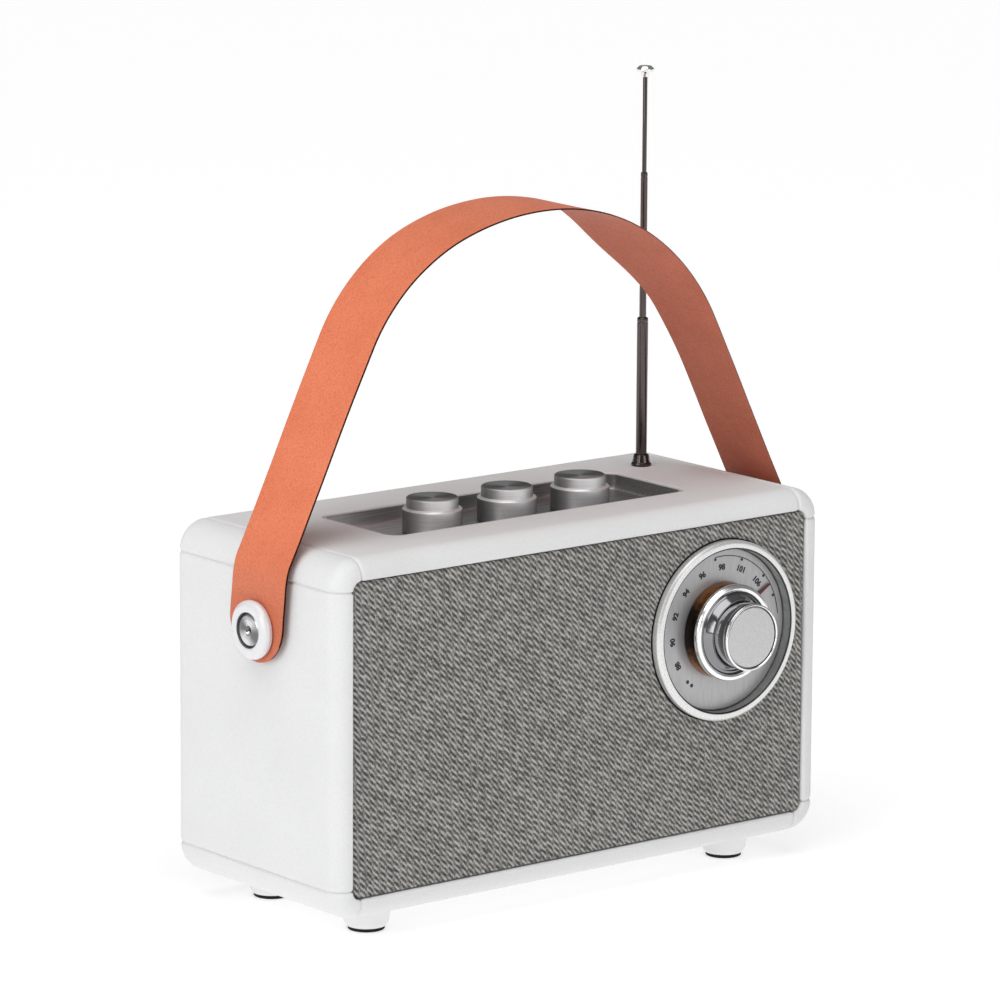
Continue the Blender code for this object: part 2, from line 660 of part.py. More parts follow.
def make_strap():
    left = [(-x, z) for x, z in strap_half(-1)]
    path = left + list(reversed(strap_half(1)))[1:]
    outline = thickened(path, STRAP_THICKNESS)
    y = MIDDLE_Y + STRAP_Y
    pivot_z = BOTTOM + STRAP_PIVOT_Z
    strap = cuttable_plate(
        "strap", [outline], STRAP_WIDTH, "tan_leather", facing_front(0, y, BOTTOM))
    # seen from the side, the strap is a band with rounded lower ends
    height = 0.1500
    band = rounded_rectangle(
        STRAP_WIDTH - 0.00002, height, STRAP_END_ROUND, 0, height / 2 - STRAP_TAIL, 6)
    cutter = cuttable_plate(
        "strap_band", [band], 0.2400, None, frame_at((0, y, pivot_z), (0, 1, 0), (0, 0, 1)))
    combine(strap, cutter, "INTERSECT")
    for side in (-1, 1):
        drill(strap, BOSS_RADIUS + GAP, facing_side(side * SIDE, y, pivot_z, side), 0.012)


def make_strap_fixings():
    """Glossy button with a boss through the strap, and the screw that holds it."""
    face = BUTTON_FACE - SIDE
    top = face + BUTTON_HEIGHT
    bore = 0.0019
    recess = 0.0058
    button = [
        (recess, top), (BUTTON_RADIUS - 0.0022, top), (BUTTON_RADIUS - 0.0006, top - 0.0007),
        (BUTTON_RADIUS, top - 0.0018), (BUTTON_RADIUS - 0.0003, face), (BOSS_RADIUS, face),
        (BOSS_RADIUS, STRAP_CLEARANCE - 0.0007), (bore, STRAP_CLEARANCE - 0.0007),
        (bore, top - 0.0018), (recess - 0.0002, top - 0.0018),
    ]
    screw = [
        (0, top - 0.0010), (0.0009, top - 0.0004), (0.0040, top - 0.0004), (0.0053, top - 0.0010),
        (0.0053, top - 0.0015), (0.0015, top - 0.0015), (0.0015, -0.0045), (0, -0.0045),
    ]
    for name, side in (("left", -1), ("right", 1)):
        place = facing_side(side * SIDE, MIDDLE_Y + STRAP_Y, BOTTOM + STRAP_PIVOT_Z, side)
        turned("strap_button_" + name, button, "white_plastic", place, closed=True)
        turned("strap_screw_" + name, screw, "chrome", place, steps=16)


# ---------------------------------------------------------------- back
PANEL_X = 0.0000
PANEL_Z = 0.0300              # above the bottom of the cabinet
PANEL_WIDTH = 0.0560
PANEL_HEIGHT = 0.0180
COVER_FACE = 0.0016           # cover behind the rear edge of the cabinet
COVER_THICKNESS = 0.0025


def cover_screw_places():
    """Centres of the four cover screws, in the corner blocks."""
    inset = INNER + 0.0048
    places = []
    for sign_x in (-1, 1):
        for sign_z in (-1, 1):
            x = sign_x * (SIDE - inset)
            z = MIDDLE_Z + sign_z * (CABINET_HEIGHT / 2 - inset)
            places.append((x, z))
    return places


def make_back_cover():
    panel_z = BOTTOM + PANEL_Z - MIDDLE_Z
    outlines = [rim_outline(RIM_WIDTH + 0.0003)]
    outlines.append(rounded_rectangle(PANEL_WIDTH, PANEL_HEIGHT, 0.0030, PANEL_X, panel_z))
    for x, z in cover_screw_places():
        outlines.append(circle(0.0013, x, z - MIDDLE_Z, 12))
    y = REAR - COVER_FACE - COVER_THICKNESS / 2
    plate("back_cover", outlines, COVER_THICKNESS, "black_plastic", facing_front(0, y, MIDDLE_Z))
    screw = [(0, 0.0014), (0.0017, 0.0014), (0.0025, 0.0008), (0.0025, GAP), (0.0010, GAP),
             (0.0010, -0.0100), (0, -0.0100)]
    for i, (x, z) in enumerate(cover_screw_places()):
        outwards = frame_at((x, REAR - COVER_FACE, z), (-1, 0, 0), (0, 0, 1))
        turned("cover_screw_" + str(i + 1), screw, "steel", outwards, steps=12)


def make_sockets():
    """Recessed plate with a charging socket, an audio socket and the power switch."""
    y = REAR - 0.0046
    z = BOTTOM + PANEL_Z
    usb = rounded_rectangle(0.0096, 0.0040, 0.0018, 0.0160, 0, 3)
    audio = circle(0.0019, 0.0, 0, 16)
    slot = rounded_rectangle(0.0110, 0.0052, 0.0006, -0.0160, 0, 2)
    outline = rounded_rectangle(PANEL_WIDTH + 0.0060, PANEL_HEIGHT + 0.0060, 0.0030)
    place = frame_at((PANEL_X, y - 0.0008, z), (-1, 0, 0), (0, 0, 1))
    plate("socket_plate", [outline, usb, audio, slot], 0.0016, "black_plastic", place)
    box("socket_block", (0.0500, 0.0100, 0.0140), (PANEL_X, y - 0.0073, z), "steel")
    # the button slides along X in its slot; at rest it is in the middle of its travel
    button = box("power_switch", (0.0050, 0.0034, 0.0044), (0.0160, y - 0.0002, z), "white_plastic")
    edges = button.modifiers.new("edges", "BEVEL")
    edges.width = 0.0004
    edges.segments = 2


# ---------------------------------------------------------------- inside and below
def make_electronics():
    box("main_board", (0.1100, 0.0016, 0.0600), (-0.0300, REAR - 0.0240, BOTTOM + 0.0450),
        "circuit_board")
    cell = facing_side(0.0120, REAR - 0.0380, BOTTOM + 0.0170, 1)
    disc("battery_cell", 0.0092, 0, 0.0650, "battery_blue", cell)


def make_feet():
    names = ("front_left", "front_right", "rear_left", "rear_right")
    places = ((-1, -1), (1, -1), (-1, 1), (1, 1))
    foot_bottom = PAD_HEIGHT + GAP
    foot_top = FOOT_HEIGHT - GAP
    foot = [
        (0, foot_top), (FOOT_TOP_RADIUS, foot_top), (FOOT_TOP_RADIUS, foot_top - 0.0010),
        (FOOT_BASE_RADIUS + 0.0006, foot_bottom + 0.0010), (FOOT_BASE_RADIUS, foot_bottom),
        (0, foot_bottom),
    ]
    for name, (sign_x, sign_y) in zip(names, places):
        place = upright(sign_x * FOOT_X, MIDDLE_Y + sign_y * FOOT_Y, 0)
        turned("foot_" + name, foot, "white_plastic", place, steps=16)
        disc("foot_pad_" + name, PAD_RADIUS, 0, PAD_HEIGHT, "black_rubber", place, steps=16)


def main():
    clear_scene()
    make_collections()
    make_materials()
    make_shell()
    make_flat_covering()
    make_corner_covering()
    make_baffle()
    make_grille()
    make_speakers()
    make_dial()
    make_tuning_knob()
    make_tuner()
    make_tray()
    make_control_board()
    make_controls()
    make_aerial()
    make_strap()
    make_strap_fixings()
    make_back_cover()
    make_sockets()
    make_electronics()
    make_feet()


main()
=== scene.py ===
"""Looks of the portable radio: leather covering, woven grille, dial, metal controls and strap.

Units are metres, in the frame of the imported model: +Z up, -Y the front, +X the dial side.
"""

import math

import bmesh
import bpy
from mathutils import Matrix, Vector, noise


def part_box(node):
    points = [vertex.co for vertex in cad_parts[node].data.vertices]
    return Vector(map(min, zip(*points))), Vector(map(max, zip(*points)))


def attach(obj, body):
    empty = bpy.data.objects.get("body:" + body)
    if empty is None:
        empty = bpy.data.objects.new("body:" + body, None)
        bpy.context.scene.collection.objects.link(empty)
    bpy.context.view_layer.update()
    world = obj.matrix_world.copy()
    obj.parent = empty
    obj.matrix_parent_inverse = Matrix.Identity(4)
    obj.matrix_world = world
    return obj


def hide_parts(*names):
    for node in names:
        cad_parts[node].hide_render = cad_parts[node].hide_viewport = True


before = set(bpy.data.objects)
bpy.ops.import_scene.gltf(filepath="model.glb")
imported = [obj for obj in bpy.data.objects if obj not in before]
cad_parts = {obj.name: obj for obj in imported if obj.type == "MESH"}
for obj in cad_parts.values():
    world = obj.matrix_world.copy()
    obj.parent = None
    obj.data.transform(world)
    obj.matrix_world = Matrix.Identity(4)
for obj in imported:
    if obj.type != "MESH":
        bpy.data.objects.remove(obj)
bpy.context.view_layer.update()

MM = 0.001

# ---------------------------------------------------------------- places read from the frame
LEFT_LOW, LEFT_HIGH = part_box("leather_left")
TOP_LOW, TOP_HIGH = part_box("leather_top")
CORNER_LOW, CORNER_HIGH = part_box("leather_corner_top_left")
SIDE = -LEFT_LOW.x
FRONT = TOP_LOW.y
REAR = TOP_HIGH.y
TOP = TOP_HIGH.z
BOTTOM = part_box("leather_bottom")[0].z
MIDDLE_Y = (FRONT + REAR) / 2
MIDDLE_Z = (TOP + BOTTOM) / 2
CORNER = CORNER_HIGH.x - CORNER_LOW.x
RIM = LEFT_HIGH.x - LEFT_LOW.x

FRONT_ROUND = 6.0 * MM
REAR_ROUND = 5.2 * MM
LIP_ROUND = 1.0 * MM
LIP_DEPTH = 2.8 * MM
SEAM_ROLL = 1.5 * MM
SEAM_SINK = 0.75 * MM
SEAM_HAIR = -0.01 * MM        # half the gap between two panels: below zero, so they overlap
# from the edge of a flat CAD panel to its seam with a corner strip
SEAM_REST = (2 * (SIDE - CORNER) - (TOP_HIGH.x - TOP_LOW.x)) / 2 - SEAM_HAIR
SKIN = 0.8 * MM
FLAT_SPACING = 2.5 * MM       # between path points where the covering is flat


def centre_of(node):
    low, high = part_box(node)
    return (low + high) / 2


def add_object(name, data):
    """A new object in the scene."""
    thing = bpy.data.objects.new(name, data)
    bpy.context.scene.collection.objects.link(thing)
    return thing


# ---------------------------------------------------------------- camera, lights, floor
CAMERA_AZIMUTH = math.radians(-38.796)
CAMERA_ELEVATION = math.radians(11.492)
CAMERA_ROLL = math.radians(0.342)
CAMERA_DISTANCE = 1946.47 * MM
CAMERA_RISE = 113.94 * MM
CAMERA_SLIDE = -0.25 * MM
CAMERA_LENS = 214.53
SENSOR_WIDTH = 36.0
CLIP = (0.05, 50.0)


def make_camera():
    """A long lens from the front left, a little above the cabinet."""
    sin_a, cos_a = math.sin(CAMERA_AZIMUTH), math.cos(CAMERA_AZIMUTH)
    sin_e, cos_e = math.sin(CAMERA_ELEVATION), math.cos(CAMERA_ELEVATION)
    back = Vector((sin_a * cos_e, -cos_a * cos_e, sin_e))
    level_right = Vector((cos_a, sin_a, 0))
    level_up = level_right.cross(-back)
    sin_r, cos_r = math.sin(CAMERA_ROLL), math.cos(CAMERA_ROLL)
    right = level_right * cos_r + level_up * sin_r
    up = level_up * cos_r - level_right * sin_r
    data = bpy.data.cameras.new("camera")
    data.lens = CAMERA_LENS
    data.sensor_width = SENSOR_WIDTH
    data.clip_start, data.clip_end = CLIP
    camera = add_object("camera", data)
    matrix = Matrix((right, up, back)).transposed().to_4x4()
    matrix.translation = (Vector((0, MIDDLE_Y, BOTTOM)) + back * CAMERA_DISTANCE
                          + right * CAMERA_SLIDE + up * CAMERA_RISE)
    camera.matrix_world = matrix
    bpy.context.scene.camera = camera


LIGHT_AIM = Vector((0, 0, 0.07))
SUN_DIRECTION = Vector((0.25, 0.12, -1.0))
SUN_WIDTH = math.radians(60)
FLOOR_HALF = 12.0
FLOOR_GLOW = 0.54
SKY = ((0.0, (0.30, 0.30, 0.30)), (1.0, (0.26, 0.26, 0.26)), (0.45, (0.16, 0.16, 0.16)))


def turn_towards(light, direction):
    light.rotation_euler = direction.to_track_quat("-Z", "Y").to_euler()


def make_light(name, place, size, power):
    """A rectangular lamp that faces the radio."""
    data = bpy.data.lights.new(name, "AREA")
    data.shape = "RECTANGLE"
    data.size, data.size_y = size
    data.energy = power
    light = add_object(name, data)
    light.location = place
    turn_towards(light, LIGHT_AIM - light.location)


def make_overhead(strength):
    """A very soft sun, like a large diffuser above the table."""
    data = bpy.data.lights.new("overhead", "SUN")
    data.energy = strength
    data.angle = SUN_WIDTH
    turn_towards(add_object("overhead", data), SUN_DIRECTION)


def set_stops(ramp, stops):
    """Give a colour ramp its (position, colour) stops: the first, the last, then the others."""
    elements = ramp.color_ramp.elements
    for i, (position, colour) in enumerate(stops):
        element = elements[i] if i < 2 else elements.new(position)
        element.position = position
        element.color = (*colour, 1)


def make_world():
    """Dim grey surroundings, brightest at the horizon and darkest a third of the way up."""
    world = bpy.data.worlds.new("studio")
    bpy.context.scene.world = world
    world.use_nodes = True
    tree = world.node_tree
    background = tree.nodes["Background"]
    coordinate = tree.nodes.new("ShaderNodeTexCoord")
    split = tree.nodes.new("ShaderNodeSeparateXYZ")
    ramp = tree.nodes.new("ShaderNodeValToRGB")
    tree.links.new(coordinate.outputs["Generated"], split.inputs[0])
    tree.links.new(split.outputs["Z"], ramp.inputs["Fac"])
    tree.links.new(ramp.outputs["Color"], background.inputs["Color"])
    set_stops(ramp, SKY)


def make_studio():
    """Surroundings, two lamps, the overhead light and a bright white floor."""
    make_world()
    make_light("key_left", (-1.45, -0.35, 0.60), (1.0, 0.9), 7.3)
    make_light("fill_front", (0.35, -1.50, 0.60), (0.9, 0.8), 3.6)
    make_overhead(1.62)
    shape = bmesh.new()
    bmesh.ops.create_grid(shape, x_segments=8, y_segments=8, size=FLOOR_HALF)
    floor = new_piece("floor", mesh_of("floor", shape, weld=False), ["floor_white"])
    bpy.context.scene.view_settings.view_transform = "Standard"


# ---------------------------------------------------------------- mesh helpers
MATERIALS = {}


def new_piece(name, mesh, finishes, matrix=None):
    """A piece of the radio with the named materials."""
    for finish in finishes:
        mesh.materials.append(MATERIALS[finish])
    piece = add_object(name, mesh)
    piece.matrix_world = matrix or Matrix()
    return piece


def mesh_of(name, shape, weld=True):
    """The mesh of a bmesh; welding joins points that coincide and turns the faces outwards."""
    if weld:
        bmesh.ops.remove_doubles(shape, verts=shape.verts, dist=1e-7)
        bmesh.ops.recalc_face_normals(shape, faces=shape.faces)
    mesh = bpy.data.meshes.new(name)
    shape.to_mesh(mesh)
    shape.free()
    return mesh


def evaluated_mesh(thing):
    """A new mesh of an object as its modifiers, or its curve, shape it."""
    bpy.context.view_layer.update()
    evaluated = thing.evaluated_get(bpy.context.evaluated_depsgraph_get())
    return bpy.data.meshes.new_from_object(evaluated)


def curve_mesh(name, curve):
    """The mesh of a curve or a text, without materials."""
    drawn = add_object(name + "_outline", curve)
    mesh = evaluated_mesh(drawn)
    bpy.data.objects.remove(drawn, do_unlink=True)
    mesh.name = name
    mesh.materials.clear()
    return mesh


def smooth(piece, angle):
    """Shade smoothly, but keep edges sharper than an angle in degrees."""
    piece.data.shade_smooth()
    piece.data.set_sharp_from_angle(angle=math.radians(angle))


def finish_where(piece, index, test):
    """Give another of the piece's materials to the faces whose centre, as (distance from the
    axis, height) in millimetres, passes a test."""
    for face in piece.data.polygons:
        radius = math.hypot(face.center.x, face.center.y) / MM
        if test(radius, face.center.z / MM):
            face.material_index = index


def mesh_from_rows(name, rows, close_rows=False, close_columns=False, caps=False):
    """A skin over rows of points; rows or columns may join up, and end rows may be capped."""
    shape = bmesh.new()
    grid = [[shape.verts.new(point) for point in row] for row in rows]
    height = len(grid)
    width = len(grid[0])
    for i in range(height if close_rows else height - 1):
        below = grid[(i + 1) % height]
        for j in range(width if close_columns else width - 1):
            k = (j + 1) % width
            shape.faces.new((grid[i][j], grid[i][k], below[k], below[j]))
    if caps:
        shape.faces.new(grid[0])
        shape.faces.new(list(reversed(grid[-1])))
    return mesh_of(name, shape)


def on_circle(centre_x, centre_y, radius, degrees):
    angle = math.radians(degrees)
    return (centre_x + radius * math.cos(angle), centre_y + radius * math.sin(angle))


def arc(centre_x, centre_y, radius, start, end, steps):
    """Points round a circle from one angle in degrees to another."""
    return [on_circle(centre_x, centre_y, radius, start + (end - start) * i / steps)
            for i in range(steps + 1)]


def circle(centre_x, centre_y, radius, count):
    """As many points as asked for, evenly round a circle."""
    return arc(centre_x, centre_y, radius, 0, 360 - 360 / count, count - 1)


def filleted(points, closed=False, steps=5):
    """A 2D outline of (x, y, fillet radius) with its corners rounded, in the given units."""
    result = []
    count = len(points)
    for i, (x, y, radius) in enumerate(points):
        here = Vector((x, y))
        if radius <= 0 or (not closed and i in (0, count - 1)):
            result.append((x, y))
            continue
        before = (Vector(points[i - 1][:2]) - here).normalized()
        after = (Vector(points[(i + 1) % count][:2]) - here).normalized()
        half = before.angle(after) / 2
        reach = radius / math.tan(half)
        start = here + before * reach
        end = here + after * reach
        centre = here + (before + after).normalized() * (radius / math.sin(half))
        for k in range(steps + 1):
            t = k / steps
            spoke = (start - centre) * (1 - t) + (end - centre) * t
            result.append(tuple(centre + spoke.normalized() * radius))
    return result


def turned(name, profile_mm, finishes, matrix, steps=96, fillet_steps=5):
    """Turn a profile of (radius, height, fillet) in millimetres about Z. A profile that starts
    off the axis is closed into a ring."""
    closed = profile_mm[0][0] > 0
    outline = filleted([(r * MM, z * MM, f * MM) for r, z, f in profile_mm],
                       closed=closed, steps=fillet_steps)
    angles = [2 * math.pi * i / steps for i in range(steps)]
    rows = [[Vector((r * math.cos(a), r * math.sin(a), z)) for a in angles] for r, z in outline]
    mesh = mesh_from_rows(name, rows, close_rows=closed, close_columns=True)
    piece = new_piece(name, mesh, finishes, matrix)
    smooth(piece, 40)
    return piece


def frame_at(origin, x_axis, y_axis):
    """The matrix that puts a piece at a place with its own X and Y along two directions."""
    x_axis = Vector(x_axis)
    y_axis = Vector(y_axis)
    matrix = Matrix((x_axis, y_axis, x_axis.cross(y_axis))).transposed().to_4x4()
    matrix.translation = Vector(origin)
    return matrix


def facing_front(x, y, z):
    return frame_at((x, y, z), (1, 0, 0), (0, 0, 1))


def facing_side(x, y, z, side):
    return frame_at((x, y, z), (0, side, 0), (0, 0, 1))


def facing_back(place):
    return frame_at(place, (-1, 0, 0), (0, 0, 1))


def rounded_rectangle(half_x, half_y, radius, steps=10):
    points = []
    for i, (sign_x, sign_y) in enumerate(((1, 1), (-1, 1), (-1, -1), (1, -1))):
        points += arc(sign_x * (half_x - radius), sign_y * (half_y - radius), radius,
                      90 * i, 90 * i + 90, steps)
    return points


def flat_piece(name, outlines, thickness, bevel, finish, matrix):
    """A flat plate with rounded edges; the outlines after the first are holes."""
    curve = bpy.data.curves.new(name, "CURVE")
    curve.dimensions = "2D"
    curve.fill_mode = "BOTH"
    curve.extrude = thickness / 2 - bevel
    curve.bevel_depth = bevel
    curve.bevel_resolution = 3
    curve.offset = -bevel
    for outline in outlines:
        spline = curve.splines.new("POLY")
        spline.points.add(len(outline) - 1)
        for point, (x, y) in zip(spline.points, outline):
            point.co = (x, y, 0, 1)
        spline.use_cyclic_u = True
    mesh = curve_mesh(name, curve)
    shape = bmesh.new()
    shape.from_mesh(mesh)
    bmesh.ops.remove_doubles(shape, verts=shape.verts, dist=1e-6)
    bmesh.ops.recalc_face_normals(shape, faces=shape.faces)
    shape.to_mesh(mesh)
    shape.free()
    piece = new_piece(name, mesh, [finish], matrix)
    smooth(piece, 50)
    weighted = piece.modifiers.new("weighted", "WEIGHTED_NORMAL")
    weighted.keep_sharp = True
    weighted.weight = 80
    return piece


def apply_modifiers(piece):
    """Replace a piece's mesh by the one its modifiers give."""
    mesh = evaluated_mesh(piece)
    old = piece.data
    piece.modifiers.clear()
    piece.data = mesh
    mesh.name = old.name
    bpy.data.meshes.remove(old)


def cut(piece, cutters):
    """Cut closed shapes, given as (mesh, matrix), out of a piece."""
    for mesh, matrix in cutters:
        cutter = add_object("cutter", mesh)
        cutter.matrix_world = matrix
        boolean = piece.modifiers.new("cut", "BOOLEAN")
        boolean.operation = "DIFFERENCE"
        boolean.solver = "EXACT"
        boolean.object = cutter
        apply_modifiers(piece)
        bpy.data.objects.remove(cutter, do_unlink=True)


def prism_mesh(outline, half_height):
    """An upright block over an outline, to cut holes with."""
    rows = [[Vector((x, y, z)) for x, y in outline] for z in (-half_height, half_height)]
    return mesh_from_rows("prism", rows, close_columns=True, caps=True)


def show_as(piece, body, *nodes, slot=None):
    """Let a piece ride on a body in place of CAD nodes."""
    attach(piece, body)
    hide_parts(*nodes)


# ---------------------------------------------------------------- material helpers
class Shader:
    """A Principled material whose nodes are added one by one, kept in MATERIALS by its name."""

    def __init__(self, name, colour, roughness, metallic=0.0):
        material = bpy.data.materials.new(name)
        material.use_nodes = True
        MATERIALS[name] = material
        self.tree = material.node_tree
        self.bsdf = self.tree.nodes["Principled BSDF"]
        self.set("Base Color", (*colour, 1.0))
        self.set("Roughness", roughness)
        self.set("Metallic", metallic)
        self.place = self.node("ShaderNodeTexCoord").outputs["Object"]

    def set(self, socket, value):
        self.bsdf.inputs[socket].default_value = value

    def node(self, kind, **settings):
        made = self.tree.nodes.new(kind)
        for key, value in settings.items():
            setattr(made, key, value)
        return made

    def link(self, source, target):
        self.tree.links.new(source, target)

    def feed(self, source, socket):
        self.link(source, self.bsdf.inputs[socket])

    def give(self, value, socket):
        """Set a socket to a number or a colour, or link an output to it."""
        if isinstance(value, (int, float)):
            socket.default_value = value
        elif isinstance(value, tuple):
            socket.default_value = (*value, 1.0)
        else:
            self.link(value, socket)

    def axes(self):
        """The object's X, Y and Z coordinates."""
        split = self.node("ShaderNodeSeparateXYZ")
        self.link(self.place, split.inputs[0])
        return split.outputs

    def scaled(self, x, y, z):
        """Object coordinates stretched by one number for each axis."""
        mapping = self.node("ShaderNodeMapping")
        mapping.inputs["Scale"].default_value = (x, y, z)
        self.link(self.place, mapping.inputs["Vector"])
        return mapping.outputs["Vector"]

    def noise_at(self, vector, detail, roughness):
        texture = self.node("ShaderNodeTexNoise")
        for key, value in (("Scale", 1.0), ("Detail", detail), ("Roughness", roughness)):
            texture.inputs[key].default_value = value
        self.link(vector, texture.inputs["Vector"])
        return texture.outputs["Fac"]

    def noise(self, scale, detail=3.0, roughness=0.55, stretch=(1.0, 1.0, 1.0)):
        return self.noise_at(self.scaled(*(scale * s for s in stretch)), detail, roughness)

    def cells(self, scale):
        """Rounded cells, like the grain of leather."""
        texture = self.node("ShaderNodeTexVoronoi", feature="SMOOTH_F1")
        texture.inputs["Scale"].default_value = 1.0
        texture.inputs["Smoothness"].default_value = 0.6
        self.link(self.scaled(scale, scale, scale), texture.inputs["Vector"])
        return texture.outputs["Distance"]

    def math(self, operation, a, b=0.0):
        made = self.node("ShaderNodeMath", operation=operation)
        self.give(a, made.inputs[0])
        self.give(b, made.inputs[1])
        return made.outputs[0]

    def remap(self, source, low, high, out_low, out_high):
        made = self.node("ShaderNodeMapRange")
        for key, value in (("From Min", low), ("From Max", high),
                           ("To Min", out_low), ("To Max", out_high)):
            made.inputs[key].default_value = value
        self.link(source, made.inputs["Value"])
        return made.outputs["Result"]

    def spread(self, source, out_low, out_high):
        """Stretch the usual range of a noise over new limits."""
        return self.remap(source, 0.3, 0.7, out_low, out_high)

    def mix(self, factor, colour_a, colour_b):
        made = self.node("ShaderNodeMix", data_type="RGBA")
        self.give(factor, made.inputs[0])
        self.give(colour_a, made.inputs[6])
        self.give(colour_b, made.inputs[7])
        return made.outputs[2]

    def bump(self, height, distance, strength, under=None):
        made = self.node("ShaderNodeBump")
        made.inputs["Strength"].default_value = strength
        made.inputs["Distance"].default_value = distance
        self.link(height, made.inputs["Height"])
        if under is not None:
            self.link(under, made.inputs["Normal"])
        return made.outputs["Normal"]

    def finish(self, colour, grain, rough_low, rough_high, depth):
        """Feed the colour, and let a grain vary the roughness and the relief."""
        self.feed(colour, "Base Color")
        self.feed(self.spread(grain, rough_low, rough_high), "Roughness")
        self.feed(self.bump(grain, depth, 0.6), "Normal")


def shade(colour, factor):
    return tuple(factor * c for c in colour)


def grained(shader, lines, light, dark):
    """A colour that changes from light to dark along a grain."""
    return shader.mix(shader.remap(lines, 0.35, 0.65, 0.0, 1.0), light, dark)


def floor_white():
    shader = Shader("floor_white", (0.62, 0.62, 0.62), 0.9)
    shader.set("Emission Color", (1.0, 1.0, 1.0, 1.0))
    shader.set("Emission Strength", FLOOR_GLOW)


def white_leather():
    """White leather with a fine pebbled grain and faint cloudy patches."""
    shader = Shader("white_leather", (0.79, 0.79, 0.79), 0.52)
    cloud = shader.spread(shader.noise(38.0, 4.0), 0.0, 1.0)
    colour = shader.mix(cloud, (0.800, 0.802, 0.804), (0.772, 0.774, 0.775))
    pebble = shader.cells(1450.0)
    colour = shader.mix(shader.remap(pebble, 0.25, 0.85, 0.0, 0.35), colour, (0.70, 0.70, 0.70))
    shader.feed(colour, "Base Color")
    shader.feed(shader.spread(shader.noise(260.0), 0.46, 0.58), "Roughness")
    soft = shader.bump(shader.noise(420.0, 2.0), 0.00003, 0.6)
    shader.feed(shader.bump(shader.math("MULTIPLY", pebble, -1.0), 0.00004, 0.5, soft), "Normal")
    shader.set("Specular IOR Level", 0.26)


def tan_leather(name, light, dark, grain=1.0, specular=0.32):
    """Tan leather: pores, fine creases and cloudy dyeing, with painted shade making it darker
    towards the buttons.
    """
    shader = Shader(name, light, 0.58)
    cloud = shader.remap(shader.noise(55.0, 5.0, 0.6), 0.32, 0.68, 0.0, 1.0)
    pores = shader.cells(1800.0)
    fine = shader.noise(2600.0, 2.0)
    # painted shade: darker low down towards the buttons, where less light falls from above
    painted_shade_low = shader.remap(shader.axes()["Z"], PIVOT_Z, TOP + 6 * MM, 0.50, 0.0)
    colour = shader.mix(cloud, light, dark)
    for grain_and_painted_shade in (shader.remap(pores, 0.35, 0.8, 0.0, 0.32 * grain),
                  shader.remap(fine, 0.45, 0.7, 0.0, 0.35), painted_shade_low):
        colour = shader.mix(grain_and_painted_shade, colour, shade(dark, 0.45))
    shader.feed(colour, "Base Color")
    shader.feed(shader.spread(shader.noise(500.0), 0.48, 0.66), "Roughness")
    soft = shader.bump(fine, 0.00005, 0.5)
    shader.feed(shader.bump(shader.math("MULTIPLY", pores, -1.0), 0.00013, 0.9 * grain, soft),
                "Normal")
    shader.set("Specular IOR Level", specular)
    shader.set("Sheen Weight", 0.10)
    shader.set("Sheen Roughness", 0.35)


def grille_weave():
    """Twill of light and dark yarn: floats lie on a staggered lattice and slant down to the
    right, as seen from the front."""
    shader = Shader("grille_weave", (0.25, 0.245, 0.23), 0.85)
    axes = shader.axes()
    warp = shader.math("MULTIPLY", shader.noise(90.0, 2.0), 0.9)
    waves = []
    for per_x, per_z, share in ((584.0, 489.0, 1.15), (212.0, 470.0, 0.82)):
        phase = shader.math("ADD", shader.math("MULTIPLY", axes["X"], per_x),
                            shader.math("MULTIPLY", axes["Y"], per_z))
        phase = shader.math("MULTIPLY", shader.math("ADD", phase, warp), 2 * math.pi)
        waves.append(shader.math("MULTIPLY", shader.math("SINE", phase), share))
    uneven = shader.remap(shader.noise(520.0, 3.0, 0.6), 0.25, 0.75, -1.1, 1.1)
    strands = shader.spread(shader.noise(1.0, 2.0, 0.6, (3600.0, 900.0, 900.0)), -0.7, 0.7)
    fluff = shader.spread(shader.noise(1700.0, 2.0, 0.6), -0.8, 0.8)
    height = waves[0]
    for part in (waves[1], uneven, strands, fluff):
        height = shader.math("ADD", height, part)
    ramp = shader.node("ShaderNodeValToRGB")
    shader.link(shader.remap(height, -2.2, 2.2, 0.0, 1.0), ramp.inputs["Fac"])
    set_stops(ramp, ((0.12, (0.072, 0.070, 0.066)), (0.92, (0.66, 0.645, 0.61)),
                     (0.5, (0.262, 0.253, 0.236))))
    shader.feed(ramp.outputs["Color"], "Base Color")
    shader.feed(shader.bump(height, 0.00022, 0.9), "Normal")
    shader.set("Sheen Weight", 0.15)
    shader.set("Specular IOR Level", 0.2)


def satin_metal(name, colour, roughness, grain, depth, metallic, stretch=(1, 1, 1)):
    """Metal with a fine grain, drawn out along one direction where it is brushed."""
    shader = Shader(name, colour, roughness, metallic)
    lines = shader.noise(grain, 3.0, 0.6, stretch)
    tone = grained(shader, lines, colour, shade(colour, 0.82))
    shader.finish(tone, lines, roughness * 0.8, roughness * 1.25, depth)


